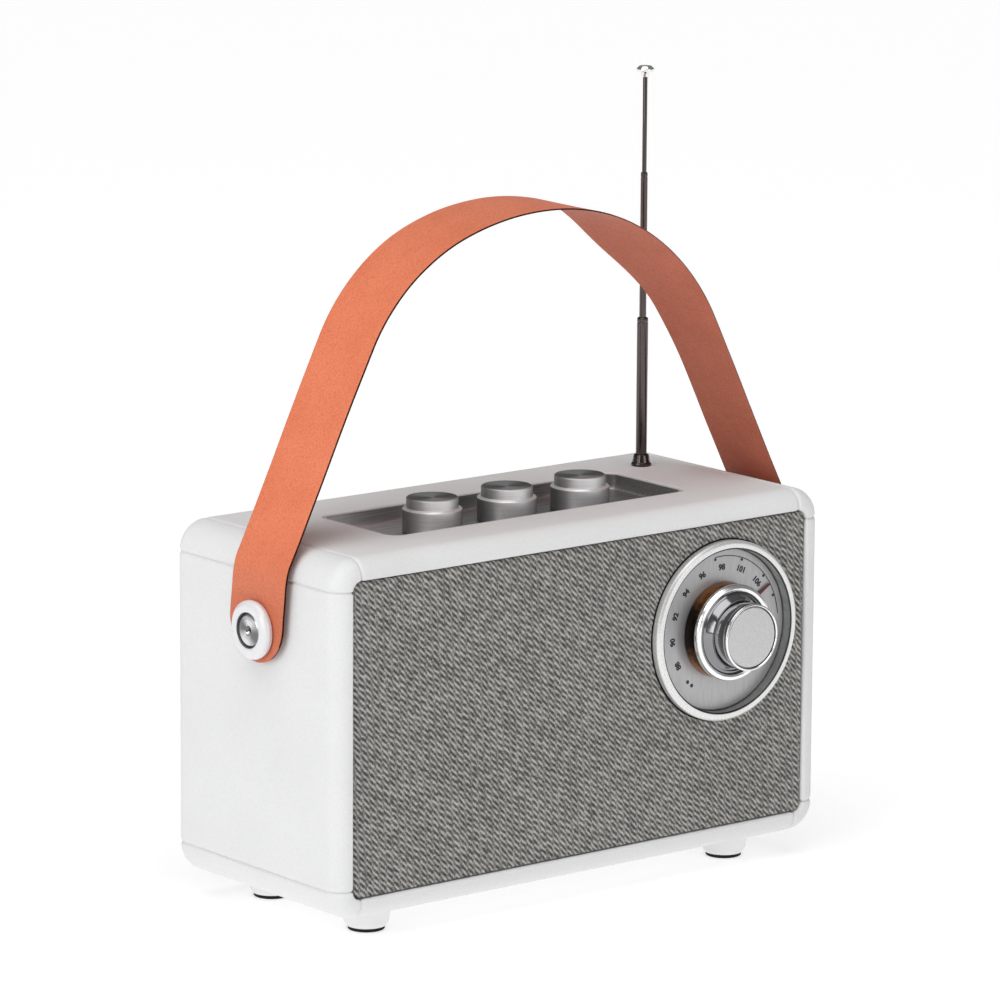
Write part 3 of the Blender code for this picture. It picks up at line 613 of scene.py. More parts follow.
def spun_metal(name, colour, roughness, grain, depth, metallic, anisotropic):
    """Metal turned about Z: fine rings, and a painted fan of highlights with two dark wedges of
    painted shade that meet on the axis.
    """
    shader = Shader(name, colour, roughness, metallic)
    x, y, z = shader.axes()
    square = shader.math("ADD", shader.math("POWER", x, 2.0), shader.math("POWER", y, 2.0))
    joined = shader.node("ShaderNodeCombineXYZ")
    shader.link(shader.math("MULTIPLY", shader.math("SQRT", square), grain), joined.inputs["X"])
    shader.link(shader.math("MULTIPLY", z, grain), joined.inputs["Y"])
    lines = shader.noise_at(joined.outputs[0], 2.0, 0.5)
    # painted highlight and painted shade: the tone turns lighter and darker round the axis, like
    # light fanning over spun metal
    turn = shader.math("ADD", shader.math("ARCTAN2", y, x), 0.35)
    painted_fan_shade = shader.math("COSINE", shader.math("MULTIPLY", turn, 2.0))
    tone = shader.mix(shader.remap(painted_fan_shade, -0.75, 0.85, 0.0, 1.0),
                      grained(shader, lines, colour, shade(colour, 0.82)), shade(colour, 0.22))
    shader.finish(tone, lines, roughness * 0.8, roughness * 1.25, depth)
    shader.set("Anisotropic", anisotropic)
    tangent = shader.node("ShaderNodeTangent", direction_type="RADIAL", axis="Z")
    shader.feed(tangent.outputs[0], "Tangent")


def brushed_tray():
    """Steel brushed along the tray, with painted light making it lighter towards its left end."""
    shader = Shader("brushed_tray", (0.5, 0.5, 0.5), 0.36, 0.8)
    lines = shader.noise(1.0, 3.0, 0.6, (60, 2600, 2600))
    # painted light: the floor and its streaks turn lighter towards the tray's left end
    left = shader.remap(shader.axes()["X"], -58 * MM, -20 * MM, 1.0, 0.0)
    ground = shader.mix(left, (0.42, 0.42, 0.42), (0.93, 0.93, 0.92))
    streak = shader.mix(left, (0.24, 0.24, 0.24), (0.60, 0.60, 0.60))
    shader.finish(grained(shader, lines, ground, streak), lines, 0.30, 0.44, 0.00002)
    shader.set("Anisotropic", 0.5)


def polished_metal(name, colour, roughness):
    """Plated metal with faint handling marks."""
    shader = Shader(name, colour, roughness, 1.0)
    marks = shader.noise(900.0, 4.0, 0.65)
    shader.feed(shader.remap(marks, 0.35, 0.75, roughness * 0.85, roughness * 1.4), "Roughness")
    haze = shader.spread(shader.noise(120.0, 2.0), 0.0, 0.10)
    shader.feed(shader.mix(haze, colour, shade(colour, 0.8)), "Base Color")


def lacquered_bronze():
    """Nearly black lacquered metal, with orange bronze colour painted above and below as painted
    highlights.
    """
    shader = Shader("lacquered_bronze", (0.05, 0.03, 0.02), 0.2, 0.9)
    height = shader.math("ABSOLUTE", shader.math("ADD", shader.axes()["Y"], -1.5 * MM))
    cloud = shader.spread(shader.noise(260.0, 3.0), -3.0 * MM, 3.0 * MM)
    # painted highlight: orange bronze where the collar's upper and lower parts catch the light
    painted_glint = shader.remap(shader.math("ADD", height, cloud), 6.0 * MM, 13.0 * MM, 0.0, 1.0)
    shader.feed(shader.mix(painted_glint, (0.022, 0.015, 0.012), (0.36, 0.15, 0.055)), "Base Color")
    shader.feed(shader.spread(shader.noise(900.0), 0.14, 0.26), "Roughness")


def moulded_plastic(name, colour, roughness, depth=0.00002, scale=2200.0, coat=0.0):
    """Plastic, board or rubber with a fine moulded grain, glossy where it has a coat."""
    shader = Shader(name, colour, roughness)
    tint = tuple(min(1.0, c * 1.12 + 0.004) for c in colour)
    tone = shader.mix(shader.spread(shader.noise(60.0), 0.0, 0.5), colour, tint)
    shader.finish(tone, shader.noise(scale, 3.0), roughness * 0.9, roughness * 1.15, depth)
    if coat:
        shader.set("Coat Weight", coat)
        shader.set("Coat Roughness", 0.06)


def printed_ink(name, colour):
    shader = Shader(name, colour, 0.5)
    fade = shader.spread(shader.noise(900.0), 0.0, 0.3)
    shader.feed(shader.mix(fade, colour, tuple(min(1.0, c + 0.04) for c in colour)), "Base Color")


# name, colour, roughness, grain per metre, depth of the grain, metallic, stretch of the grain
SATIN_METALS = (
    ("bezel_silver", (0.88, 0.88, 0.87), 0.30, 4000.0, 0.000002, 0.6),
    ("bezel_wall", (0.50, 0.51, 0.50), 0.35, 500.0, 0.00001, 0.8),
    ("dial_face", (0.52, 0.52, 0.53), 0.42, 1.0, 0.000004, 0.65, (9000, 160, 160)),
    ("cap_face", (0.64, 0.63, 0.64), 0.38, 3500.0, 0.000006, 0.8),
    ("knob_step", (0.92, 0.92, 0.92), 0.36, 4000.0, 0.000002, 0.6),
    ("tray_lip", (0.66, 0.66, 0.66), 0.50, 4000.0, 0.000002, 0.3),
    ("steel", (0.48, 0.48, 0.48), 0.30, 900.0, 0.00001, 1.0),
)
# name, colour, roughness, rings per metre, depth of the rings, metallic, anisotropy
SPUN_METALS = (
    ("screw_chrome", (0.80, 0.80, 0.805), 0.20, 5000.0, 0.000004, 1.0, 0.5),
    ("spun_aluminium", (0.88, 0.88, 0.885), 0.36, 7000.0, 0.00001, 0.6, 0.6),
    # a darker copy of the spun aluminium for the tops of the caps: painted shade
    ("spun_cap", (0.66, 0.66, 0.665), 0.34, 7000.0, 0.00001, 1.0, 0.6),
)
# name, colour, roughness
POLISHED_METALS = (
    ("chrome", (0.86, 0.86, 0.87), 0.06),
    ("knob_body", (0.27, 0.27, 0.28), 0.10),
    ("bright_edge", (0.95, 0.95, 0.95), 0.20),
    ("dark_nickel", (0.105, 0.088, 0.085), 0.20),
    ("black_nickel", (0.09, 0.080, 0.076), 0.14),
)
# name, colour, roughness, depth of the grain, grain per metre, coat
PLASTICS = (
    ("knob_line", (0.015, 0.015, 0.016), 0.3),
    ("screw_dimple", (0.010, 0.010, 0.010), 0.4),
    ("dark_recess", (0.10, 0.10, 0.105), 0.45),
    ("white_gloss", (0.74, 0.74, 0.76), 0.18, 0.000004, 400.0, 0.6),
    ("foot_white", (0.84, 0.84, 0.835), 0.32, 0.000006, 900.0),
    ("black_rubber", (0.004, 0.004, 0.004), 0.9, 0.00003, 1500.0),
    ("black_plastic", (0.028, 0.028, 0.030), 0.52, 0.00004, 1800.0),
    ("black_board", (0.020, 0.019, 0.018), 0.8, 0.00006, 900.0),
    ("circuit_board", (0.02, 0.13, 0.06), 0.4, 0.00002, 600.0),
    ("battery_sleeve", (0.04, 0.10, 0.30), 0.35, 0.00002, 600.0),
    ("speaker_cone", (0.03, 0.03, 0.03), 0.7, 0.00005, 900.0),
)


def make_materials():
    floor_white()
    white_leather()
    tan_leather("tan_leather", (0.91, 0.260, 0.132), (0.84, 0.218, 0.104))
    # a darker copy of the tan leather for the strap's inner face: painted shade
    tan_leather("tan_back_shaded", (0.60, 0.180, 0.108), (0.52, 0.148, 0.086), 0.7, 0.12)
    tan_leather("tan_edge", (0.040, 0.011, 0.006), (0.024, 0.006, 0.004), 0.4, 0.08)
    grille_weave()
    brushed_tray()
    lacquered_bronze()
    printed_ink("black_ink", (0.010, 0.010, 0.010))
    printed_ink("red_paint", (0.13, 0.006, 0.010))
    for make, rows in ((satin_metal, SATIN_METALS), (spun_metal, SPUN_METALS),
                       (polished_metal, POLISHED_METALS), (moulded_plastic, PLASTICS)):
        for settings in rows:
            make(*settings)


# ---------------------------------------------------------------- covering
def rolled(centre_y, centre_out, radius, start, end, steps):
    """Path points round an arc, whose normals point away from its centre."""
    return [(y, out, (y - centre_y) / radius, (out - centre_out) / radius)
            for y, out in arc(centre_y, centre_out, radius, start, end, steps)]


def path_points():
    """The covering's outer surface from the front lip to the rear lip, as (y, outwards,
    normal y, normal outwards), closely spaced on the curves."""
    flat_start = FRONT + FRONT_ROUND
    flat_end = REAR - REAR_ROUND
    lip_out = -RIM + LIP_ROUND
    points = [(FRONT + LIP_DEPTH, -RIM, 0.0, -1.0)]
    points += rolled(FRONT + LIP_ROUND, lip_out, LIP_ROUND, 270, 180, 5)
    points += rolled(flat_start, -FRONT_ROUND, FRONT_ROUND, 180, 90, 12)[1:]
    count = round((flat_end - flat_start) / FLAT_SPACING)
    for i in range(1, count):
        points.append((flat_start + (flat_end - flat_start) * i / count, 0.0, 0.0, 1.0))
    points += rolled(flat_end, -REAR_ROUND, REAR_ROUND, 90, 0, 12)
    points += rolled(REAR - LIP_ROUND, lip_out, LIP_ROUND, 0, -90, 5)
    points.append((REAR - LIP_DEPTH, -RIM, 0.0, -1.0))
    return points


def seam_sink(distance):
    """How far the surface rolls down at a distance from its seam edge."""
    if distance >= SEAM_ROLL:
        return 0.0
    return SEAM_SINK * (1 - distance / SEAM_ROLL) ** 2.5


def across_steps(length, spacing):
    """Distances across a panel, dense near both seam edges."""
    edge = [SEAM_ROLL * (1 - math.cos(math.radians(a))) for a in (0, 25, 45, 60, 75, 90)]
    inner = length - 2 * SEAM_ROLL
    count = max(1, round(inner / spacing))
    middle = [SEAM_ROLL + inner * i / count for i in range(1, count)]
    return edge + middle + [length - d for d in reversed(edge)]


def ripple(point):
    """Slight unevenness of leather glued to a board."""
    wave = noise.noise(point * 42.0) + 0.4 * noise.noise(point * 130.0)
    return 0.035 * MM * wave


def covering_piece(name, rows):
    """A sheet of the covering, given its thickness inwards."""
    piece = new_piece(name, mesh_from_rows(name, rows), ["white_leather"])
    solid = piece.modifiers.new("thickness", "SOLIDIFY")
    solid.thickness = SKIN
    solid.offset = -1.0
    solid.use_even_offset = False
    apply_modifiers(piece)
    smooth(piece, 60)
    return piece


def flat_panel(name, node, centre, across, outwards):
    """One flat panel with its rounded front and back ends."""
    low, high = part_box(node)
    size = high - low
    length = abs(size.dot(Vector(across))) + 2 * SEAM_REST
    rows = []
    for distance in across_steps(length, 3 * MM):
        sink = seam_sink(min(distance, length - distance))
        row = []
        for y, out, normal_y, normal_out in path_points():
            place = (Vector(centre) + Vector(across) * (distance - length / 2)
                     + Vector((0, y - MIDDLE_Y, 0)) + Vector(outwards) * out)
            normal = Vector((0, normal_y, 0)) + Vector(outwards) * normal_out
            row.append(place + normal * (ripple(place) - sink))
        rows.append(row)
    piece = covering_piece(name, rows)
    if Vector(across).cross(Vector((0, 1, 0))).dot(Vector(outwards)) < 0:
        piece.data.flip_normals()
    return piece


def corner_panel(name, sign_x, sign_z):
    """A quarter-round strip along one long edge of the cabinet."""
    centre_x = sign_x * (SIDE - CORNER)
    centre_z = MIDDLE_Z + sign_z * ((TOP - BOTTOM) / 2 - CORNER)
    arc_length = CORNER * math.pi / 2 - 2 * SEAM_HAIR
    rows = []
    for distance in across_steps(arc_length, 1.2 * MM):
        angle = (distance + SEAM_HAIR) / CORNER
        sink = seam_sink(min(distance, arc_length - distance))
        spoke = Vector((sign_x * math.cos(angle), 0, sign_z * math.sin(angle)))
        row = []
        for y, out, normal_y, normal_out in path_points():
            place = Vector((centre_x, y, centre_z)) + spoke * (CORNER + out)
            normal = Vector((0, normal_y, 0)) + spoke * normal_out
            row.append(place + normal * (ripple(place) - sink))
        rows.append(row)
    return covering_piece(name, rows)


def make_covering():
    """Four flat panels and the four quarter-round strips between them."""
    flats = (
        ("cover_top", "leather_top", (0, MIDDLE_Y, TOP), (1, 0, 0), (0, 0, 1)),
        ("cover_bottom", "leather_bottom", (0, MIDDLE_Y, BOTTOM), (1, 0, 0), (0, 0, -1)),
        ("cover_left", "leather_left", (-SIDE, MIDDLE_Y, MIDDLE_Z), (0, 0, 1), (-1, 0, 0)),
        ("cover_right", "leather_right", (SIDE, MIDDLE_Y, MIDDLE_Z), (0, 0, 1), (1, 0, 0)),
    )
    for name, node, centre, across, outwards in flats:
        piece = flat_panel(name, node, centre, across, outwards)
        if name == "cover_top":
            cut_top(piece)
        show_as(piece, "cabinet", node, slot="white_leather")
    corners = (("top_right", 1, 1), ("top_left", -1, 1),
               ("bottom_left", -1, -1), ("bottom_right", 1, -1))
    for place, sign_x, sign_z in corners:
        node = "leather_corner_" + place
        piece = corner_panel("cover_corner_" + place, sign_x, sign_z)
        show_as(piece, "cabinet", node, slot="white_leather")


TRAY_LOW, TRAY_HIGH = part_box("control_tray")
TRAY_CENTRE = (TRAY_LOW + TRAY_HIGH) / 2
TRAY_PLACE = Matrix.Translation((TRAY_CENTRE.x, TRAY_CENTRE.y, TOP))
TRAY_GAP = 0.3 * MM           # from the tray to the opening round it
TRAY_HALF_X = (TRAY_HIGH.x - TRAY_LOW.x) / 2 + TRAY_GAP       # of the opening
TRAY_HALF_Y = (TRAY_HIGH.y - TRAY_LOW.y) / 2 + TRAY_GAP
TRAY_CORNER = 5.0 * MM
TRAY_SINK = 5.5 * MM
FOLD = 0.7 * MM               # radius of the leather's fold into the tray opening
AERIAL_BORE = 3.0 * MM
CUTTER_REACH = 10 * MM


def cut_top(piece):
    """Open the top panel for the tray and the aerial."""
    hole = prism_mesh(rounded_rectangle(TRAY_HALF_X + FOLD, TRAY_HALF_Y + FOLD,
                                        TRAY_CORNER + FOLD, 12), CUTTER_REACH)
    aerial = centre_of("aerial_lower")
    small = prism_mesh(circle(0, 0, AERIAL_BORE, 24), CUTTER_REACH)
    cut(piece, [(hole, TRAY_PLACE), (small, Matrix.Translation((aerial.x, aerial.y, TOP)))])
    smooth(piece, 40)


def rectangle_rows(profile, half_x, half_y, radius, steps=12):
    """Rows that follow a rounded rectangle; the profile is (inset, height)."""
    rows = []
    for inset, height in profile:
        outline = rounded_rectangle(half_x - inset, half_y - inset,
                                    max(radius - inset, 0.2 * MM), steps)
        rows.append([Vector((x, y, height)) for x, y in outline])
    return rows


def make_tray_fold():
    """The leather's edge, rolled down into the tray opening."""
    profile = [(-FOLD - 0.05 * MM, -1.0 * MM), (-FOLD - 0.05 * MM, -0.02 * MM)]
    profile += [(-FOLD + x, -FOLD + z) for x, z in arc(0, 0, FOLD, 90, 0, 6)]
    profile += [(0.0, -2.2 * MM), (-0.6 * MM, -2.2 * MM)]
    rows = rectangle_rows(profile, TRAY_HALF_X, TRAY_HALF_Y, TRAY_CORNER)
    mesh = mesh_from_rows("cover_tray_fold", rows, close_rows=True, close_columns=True)
    piece = new_piece("cover_tray_fold", mesh, ["white_leather"], TRAY_PLACE)
    smooth(piece, 50)
    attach(piece, "cabinet")


# ---------------------------------------------------------------- front
def make_grille():
    """The woven panel, with a round opening for the dial."""
    low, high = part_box("grille_cloth")
    centre = (low + high) / 2
    dial = centre_of("dial_bezel")
    outline = rounded_rectangle((high.x - low.x) / 2, (high.z - low.z) / 2, 2.6 * MM, 8)
    dial_hole = circle(dial.x - centre.x, dial.z - centre.z, GRILLE_OPENING, 120)
    piece = flat_piece("grille_weave", [outline, dial_hole], high.y - low.y, 0.6 * MM,
                       "grille_weave", facing_front(*centre))
    show_as(piece, "cabinet", "grille_cloth", slot="grille_fabric")


DIAL = centre_of("dial_bezel")
DIAL_PLACE = facing_front(DIAL.x, FRONT, DIAL.z)
DIAL_FACE = (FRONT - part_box("dial_plate")[0].y) / MM      # in front of the cabinet, mm
GRILLE_OPENING = 30.15 * MM


def make_bezel():
    """Silver ring with painted shade: a black line in the groove inside its lip, a darker inner
    wall and a black outer wall behind the front.
    """
    shelf = DIAL_FACE - 1.5
    profile = [
        (26.9, 1.6, 0.1), (27.35, 1.75, 0.05), (27.5, 2.0, 0.15), (29.0, 1.95, 0.7),
        (29.8, 1.2, 0.35), (29.8, -0.8, 0),
        (29.8, -5.0, 0.1), (23.9, -5.0, 0.1), (23.9, shelf, 0.1), (26.9, shelf, 0.1),
    ]
    piece = turned("bezel_ring", profile, ["bezel_silver", "bezel_wall", "knob_line"],
                   DIAL_PLACE, 160)
    # painted shade: black in the groove inside the lip, a darker copy of the silver on the inner
    # wall, and black on the outer wall behind the front
    finish_where(piece, 2, lambda radius, height: radius < 27.42)
    finish_where(piece, 1, lambda radius, height: radius < 26.93)
    finish_where(piece, 2, lambda radius, height: radius > 29.7 and height < -0.8)
    show_as(piece, "cabinet", "dial_bezel", slot="satin_silver")


def make_dial_plate():
    back = DIAL_FACE - 1.2
    profile = [(4.0, back, 0.05), (26.6, back, 0.1), (26.6, DIAL_FACE, 0.15),
               (4.0, DIAL_FACE, 0.05)]
    piece = turned("dial_face", profile, ["dial_face"], DIAL_PLACE, 128)
    show_as(piece, "cabinet", "dial_plate", slot="dial_silver")


SCALE_START = 208             # degrees, lower left
SCALE_END = 43                # degrees, upper right
PRINT = 0.06                  # thickness of the printing in mm


def dial_point(angle, radius, height):
    """A place on the dial from an angle in degrees and two lengths in millimetres."""
    turn = math.radians(angle)
    return Vector((radius * MM * math.cos(turn), radius * MM * math.sin(turn), height * MM))


def printed_dot(shape, angle, radius, size):
    """A round dot with a little thickness."""
    place = Matrix.Translation(dial_point(angle, radius, DIAL_FACE + PRINT / 2))
    bmesh.ops.create_cone(shape, cap_ends=True, segments=20, radius1=size * MM / 2,
                          radius2=size * MM / 2, depth=PRINT * MM, matrix=place)


def make_scale_lines():
    """A thin arc at the upper right with four dots, and two dots where the scale starts."""
    shape = bmesh.new()
    for angle in (97, 69, 41, 21):
        printed_dot(shape, angle, 23.7, 1.0)
    printed_dot(shape, SCALE_START + 20, 21.0, 1.3)
    printed_dot(shape, SCALE_START + 26, 21.0, 1.3)
    line_start, line_end, steps = 97, 5, 48
    for i in range(steps):
        first = line_start + (line_end - line_start) * i / steps
        last = line_start + (line_end - line_start) * (i + 1) / steps
        corners = ((first, 24.2), (last, 24.2), (last, 24.5), (first, 24.5))
        shape.faces.new([shape.verts.new(dial_point(angle, radius, DIAL_FACE + PRINT))
                         for angle, radius in corners])
    piece = new_piece("dial_scale", mesh_of("dial_scale", shape), ["black_ink"], DIAL_PLACE)
    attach(piece, "cabinet")


def make_scale_numbers():
    """Small plain numbers round the dial."""
    numbers = ("88", "90", "92", "94", "96", "98", "101", "106")
    for i, text in enumerate(numbers):
        angle = SCALE_START + (SCALE_END - SCALE_START) * i / (len(numbers) - 1)
        name = "dial_number_" + text
        curve = bpy.data.curves.new(name, "FONT")
        curve.body = text
        curve.size = 2.7 * MM
        curve.align_x = "CENTER"
        curve.align_y = "CENTER"
        curve.extrude = PRINT * MM / 2
        curve.offset = 0.13 * MM
        curve.resolution_u = 3
        place = DIAL_PLACE @ Matrix.Translation(dial_point(angle, 20.6, DIAL_FACE + PRINT / 2))
        turn = Matrix.Rotation(math.radians(angle - 90), 4, "Z")
        piece = new_piece(name, curve_mesh(name, curve), ["black_ink"], place @ turn)
        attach(piece, "cabinet")


def make_tuning_knob():
    """Bronze collar, chrome knob with painted shade in the grooves under its flange and cap and
    painted highlights on their rims, and its face.
    """
    body = "tuning_control"
    low = DIAL_FACE + 0.3
    collar = [(15.9, low, 0.15), (15.7, 1.0, 1.0), (15.3, 2.9, 0.3), (3.4, 2.9, 0.1),
              (3.4, low, 0.1)]
    piece = turned("knob_collar", collar, ["lacquered_bronze"], DIAL_PLACE, 128)
    show_as(piece, body, "tuning_collar", slot="bronze_chrome")
    knob = [
        (0, 13.0, 0), (10.2, 13.0, 0.1), (10.25, 13.6, 0.15), (10.5, 13.95, 0.2),
        (11.0, 13.6, 0.3), (11.05, 13.1, 0.15), (10.6, 12.8, 0.1), (10.6, 12.35, 0.1),
        (11.0, 12.1, 0.15), (11.0, 7.2, 1.6), (12.6, 5.2, 0.6), (13.3, 4.9, 0.1),
        (13.3, 4.5, 0.05), (13.75, 4.5, 0.05), (13.75, 5.3, 0.15), (14.6, 5.6, 0.7),
        (15.6, 5.2, 0.5), (15.9, 4.5, 0.4), (15.9, 3.5, 0.2), (15.5, 3.3, 0.1),
        (3.3, 3.3, 0), (3.3, 10.0, 0), (0, 10.0, 0),
    ]
    piece = turned("knob_body", knob, ["knob_body", "bright_edge", "knob_line"],
                   DIAL_PLACE, 128, 6)
    # painted shade: black in the grooves under the flange and the cap; painted highlight: a much
    # lighter copy of the chrome on their rims
    finish_where(piece, 2, lambda radius, height: (
        (radius > 13.2 and height > 4.0) or (radius > 10.3 and height > 12.3)))
    finish_where(piece, 1, lambda radius, height: (
        radius > 13.72 or (radius > 10.3 and height > 13.15)))
    show_as(piece, body, "tuning_knob", slot="polished_chrome")
    face = [(0, 13.62, 0), (9.7, 13.55, 0.2), (10.05, 13.3, 0.15), (10.05, 13.1, 0), (0, 13.1, 0)]
    piece = turned("knob_face", face, ["cap_face"], DIAL_PLACE, 128)
    show_as(piece, body, "tuning_knob_face", slot="knob_face_metal")


NEEDLE_ANGLE = 32


def make_needle():
    """A tapered red needle just above the dial plate."""
    shape = bmesh.new()
    low, high = DIAL_FACE + 0.45, DIAL_FACE + 0.8
    outline = ((16.3, -0.55), (23.7, -0.36), (24.1, 0.0), (23.7, 0.36), (16.3, 0.55))
    rows = [[shape.verts.new((x * MM, y * MM, z * MM)) for x, y in outline] for z in (low, high)]
    count = len(outline)
    for i in range(count):
        shape.faces.new((rows[0][i], rows[0][(i + 1) % count], rows[1][(i + 1) % count],
                         rows[1][i]))
    shape.faces.new(list(reversed(rows[0])))
    shape.faces.new(rows[1])
    bmesh.ops.recalc_face_normals(shape, faces=shape.faces)
    bmesh.ops.bevel(shape, geom=list(shape.edges), offset=0.08 * MM, segments=2, profile=0.5,
                    affect="EDGES", clamp_overlap=True)
    mesh = mesh_of("dial_pointer", shape, weld=False)
    turn = Matrix.Rotation(math.radians(NEEDLE_ANGLE), 4, "Z")
    piece = new_piece("dial_pointer", mesh, ["red_paint"], DIAL_PLACE @ turn)
    smooth(piece, 40)
    show_as(piece, "tuning_control", "dial_needle", slot="needle_red")


# ---------------------------------------------------------------- top controls
CONTROLS = ("volume", "bass", "treble")
SPINDLE_BORE = 3.5 * MM


def make_tray():
    """Pressed metal tray with a rounded floor edge."""
    wall = 0.8 * MM
    fillet = 1.1 * MM
    lip = 0.2 * MM
    profile = [(wall + 0.6 * MM, -TRAY_SINK - wall), (0.6 * MM, -TRAY_SINK - wall),
               (0.0, -TRAY_SINK - wall + 0.6 * MM), (0.0, -0.45 * MM)]
    profile += arc(lip, -0.45 * MM, lip, 180, 90, 2)[1:]
    profile += [(wall - lip, -0.25 * MM), (wall, -0.45 * MM)]
    profile += arc(wall + fillet, -TRAY_SINK + fillet, fillet, 180, 270, 4)
    rows = rectangle_rows(profile, TRAY_HALF_X - TRAY_GAP, TRAY_HALF_Y - TRAY_GAP,
                          TRAY_CORNER - TRAY_GAP)
    mesh = mesh_from_rows("tray_pan", rows, close_columns=True, caps=True)
    piece = new_piece("tray_pan", mesh, ["brushed_tray", "tray_lip"], TRAY_PLACE)
    # a lighter, less metallic finish on the lip: a painted highlight along the rim
    finish_where(piece, 1, lambda radius, height: height > -0.46)
    holes = []
    for name in CONTROLS:
        spot = centre_of(name + "_knob")
        drill = prism_mesh(circle(0, 0, SPINDLE_BORE, 48), 4 * MM)
        holes.append((drill, Matrix.Translation((spot.x, spot.y, TOP - TRAY_SINK))))
    cut(piece, holes)
    smooth(piece, 35)
    show_as(piece, "cabinet", "control_tray", slot="brushed_tray")


def make_controls():
    """Spun knobs with a bright step round a cap."""
    profile = [
        (0, 5.72, 0), (5.0, 5.75, 0), (7.7, 5.85, 0.3), (8.0, 6.0, 0.12), (8.4, 5.7, 0.2),
        (8.4, 2.75, 0.1), (8.75, 2.55, 0.1), (9.35, 2.5, 0.15), (9.65, 2.1, 0.2),
        (9.65, -5.2, 0.2), (3.3, -5.2, 0), (3.3, 1.2, 0), (0, 1.2, 0),
    ]
    for name in CONTROLS:
        spot = centre_of(name + "_knob")
        place = Matrix.Translation((spot.x, spot.y, TOP))
        piece = turned(name + "_dial", profile, ["spun_aluminium", "knob_step", "spun_cap"], place)
        finish_where(piece, 1, lambda radius, height: 8.45 < radius < 9.62 and height > 1.9)
        # the top of the cap gets the darker copy of the spun metal: painted shade
        finish_where(piece, 2, lambda radius, height: radius < 7.9 and height > 5.0)
        show_as(piece, name + "_control", name + "_knob", slot="spun_aluminium")


# ---------------------------------------------------------------- aerial
def make_aerial():
    """A collar, two tubes with a groove near the top, a rod and its tip."""
    spot = centre_of("aerial_lower")
    place = Matrix.Translation((spot.x, spot.y, TOP))
    collar = [
        (2.1, 3.8, 0.1), (2.45, 3.8, 0.15), (2.7, 3.0, 0.3), (3.0, 1.2, 0.8), (3.4, 0.75, 0.15),
        (3.4, 0.3, 0.1), (2.7, 0.3, 0.05), (2.7, -15.0, 0.1), (2.1, -15.0, 0.1),
    ]
    piece = turned("aerial_base", collar, ["black_nickel"], place, 64)
    show_as(piece, "cabinet", "aerial_collar", slot="dark_nickel")
    tubes = (
        ("aerial_lower", "aerial_lower_section", 1.85, 1.45, -12.0, 50.0),
        ("aerial_middle", "aerial_middle_section", 1.15, 0.95, 44.0, 98.5),
    )
    for node, body, outer, inner, low, high in tubes:
        profile = [
            (inner, high, 0.05), (outer - 0.25, high, 0.15), (outer, high - 0.5, 0.2),
            (outer, high - 1.3, 0.1), (outer - 0.06, high - 1.5, 0.05),
            (outer - 0.06, high - 1.8, 0.05), (outer, high - 2.0, 0.1),
            (outer, low, 0.1), (inner, low, 0.05),
        ]
        piece = turned(node + "_tube", profile, ["dark_nickel"], place, 48, 3)
        show_as(piece, body, node, slot="dark_nickel")
    rod = [(0, 130.2, 0), (0.75, 130.2, 0.1), (0.75, 78.5, 0.1), (0, 78.5, 0)]
    piece = turned("aerial_upper_rod", rod, ["black_nickel"], place, 32, 3)
    show_as(piece, "aerial_upper_section", "aerial_upper", slot="dark_nickel")
    tip = [
        (0, 133.9, 0), (1.9, 133.9, 0.6), (2.9, 133.0, 0.5), (2.9, 132.1, 0.5),
        (1.5, 131.3, 0.4), (1.15, 130.2, 0.2), (0.76, 130.2, 0), (0.76, 131.0, 0),
        (0, 131.0, 0),
    ]
    piece = turned("aerial_cap", tip, ["chrome"], place, 64)
    show_as(piece, "aerial_upper_section", "aerial_tip", slot="polished_chrome")


# ---------------------------------------------------------------- strap
STRAP_LOW, STRAP_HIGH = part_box("strap")
STRAP_Y = (STRAP_LOW.y + STRAP_HIGH.y) / 2
STRAP_HALF_WIDTH = (STRAP_HIGH.y - STRAP_LOW.y) / 2
STRAP_THICKNESS = 1.8 * MM
STRAP_STAND_OFF = CORNER + 1.9 * MM    # middle line of the strap from the cabinet's corner centre
STRAP_BULGE = 2.9 * MM                 # how much further the right end stands off
STRAP_LEAN = math.radians(27.5)
STRAP_TOP_RADIUS = 90 * MM
STRAP_SHOULDERS = {-1: 66 * MM, 1: 76 * MM}
STRAP_END_ROUND = 13.6 * MM
STRAP_EDGE = 0.45 * MM                 # rounding of the strap's long edges
STRAP_STRIPS = 12                      # faces across each of its two sides
STRAP_BORE = 4.3 * MM
FRONT_DIP = (1.4 * MM, -90 * MM, 40 * MM)      # how deep, from which x, to which x
REAR_DIP = (5.6 * MM, 20 * MM, 85 * MM)
DRIFT = {-1: -2.2 * MM, 1: 1.3 * MM}           # how far each leg leans forward or back
STRAP_LEAVE = 14                       # degrees round the corner where the arc begins
BUTTON_RADIUS = 9.5 * MM
PIVOT_Z = centre_of("strap_button_left").z


def smooth_step(value, low, high):
    t = min(1.0, max(0.0, (value - low) / (high - low)))
    return t * t * (3 - 2 * t)


def s_curve(start, end, lean, steps):
    """Points between an upright start and an end that leans inwards by some degrees."""
    height = end[1] - start[1]
    slope = -math.tan(math.radians(lean)) * height
    points = []
    for i in range(1, steps):
        t = i / steps
        x = start[0] + (end[0] - start[0]) * smooth_step(t, 0, 1) + slope * t * t * (t - 1)
        points.append((x, start[1] + height * t))
    return points


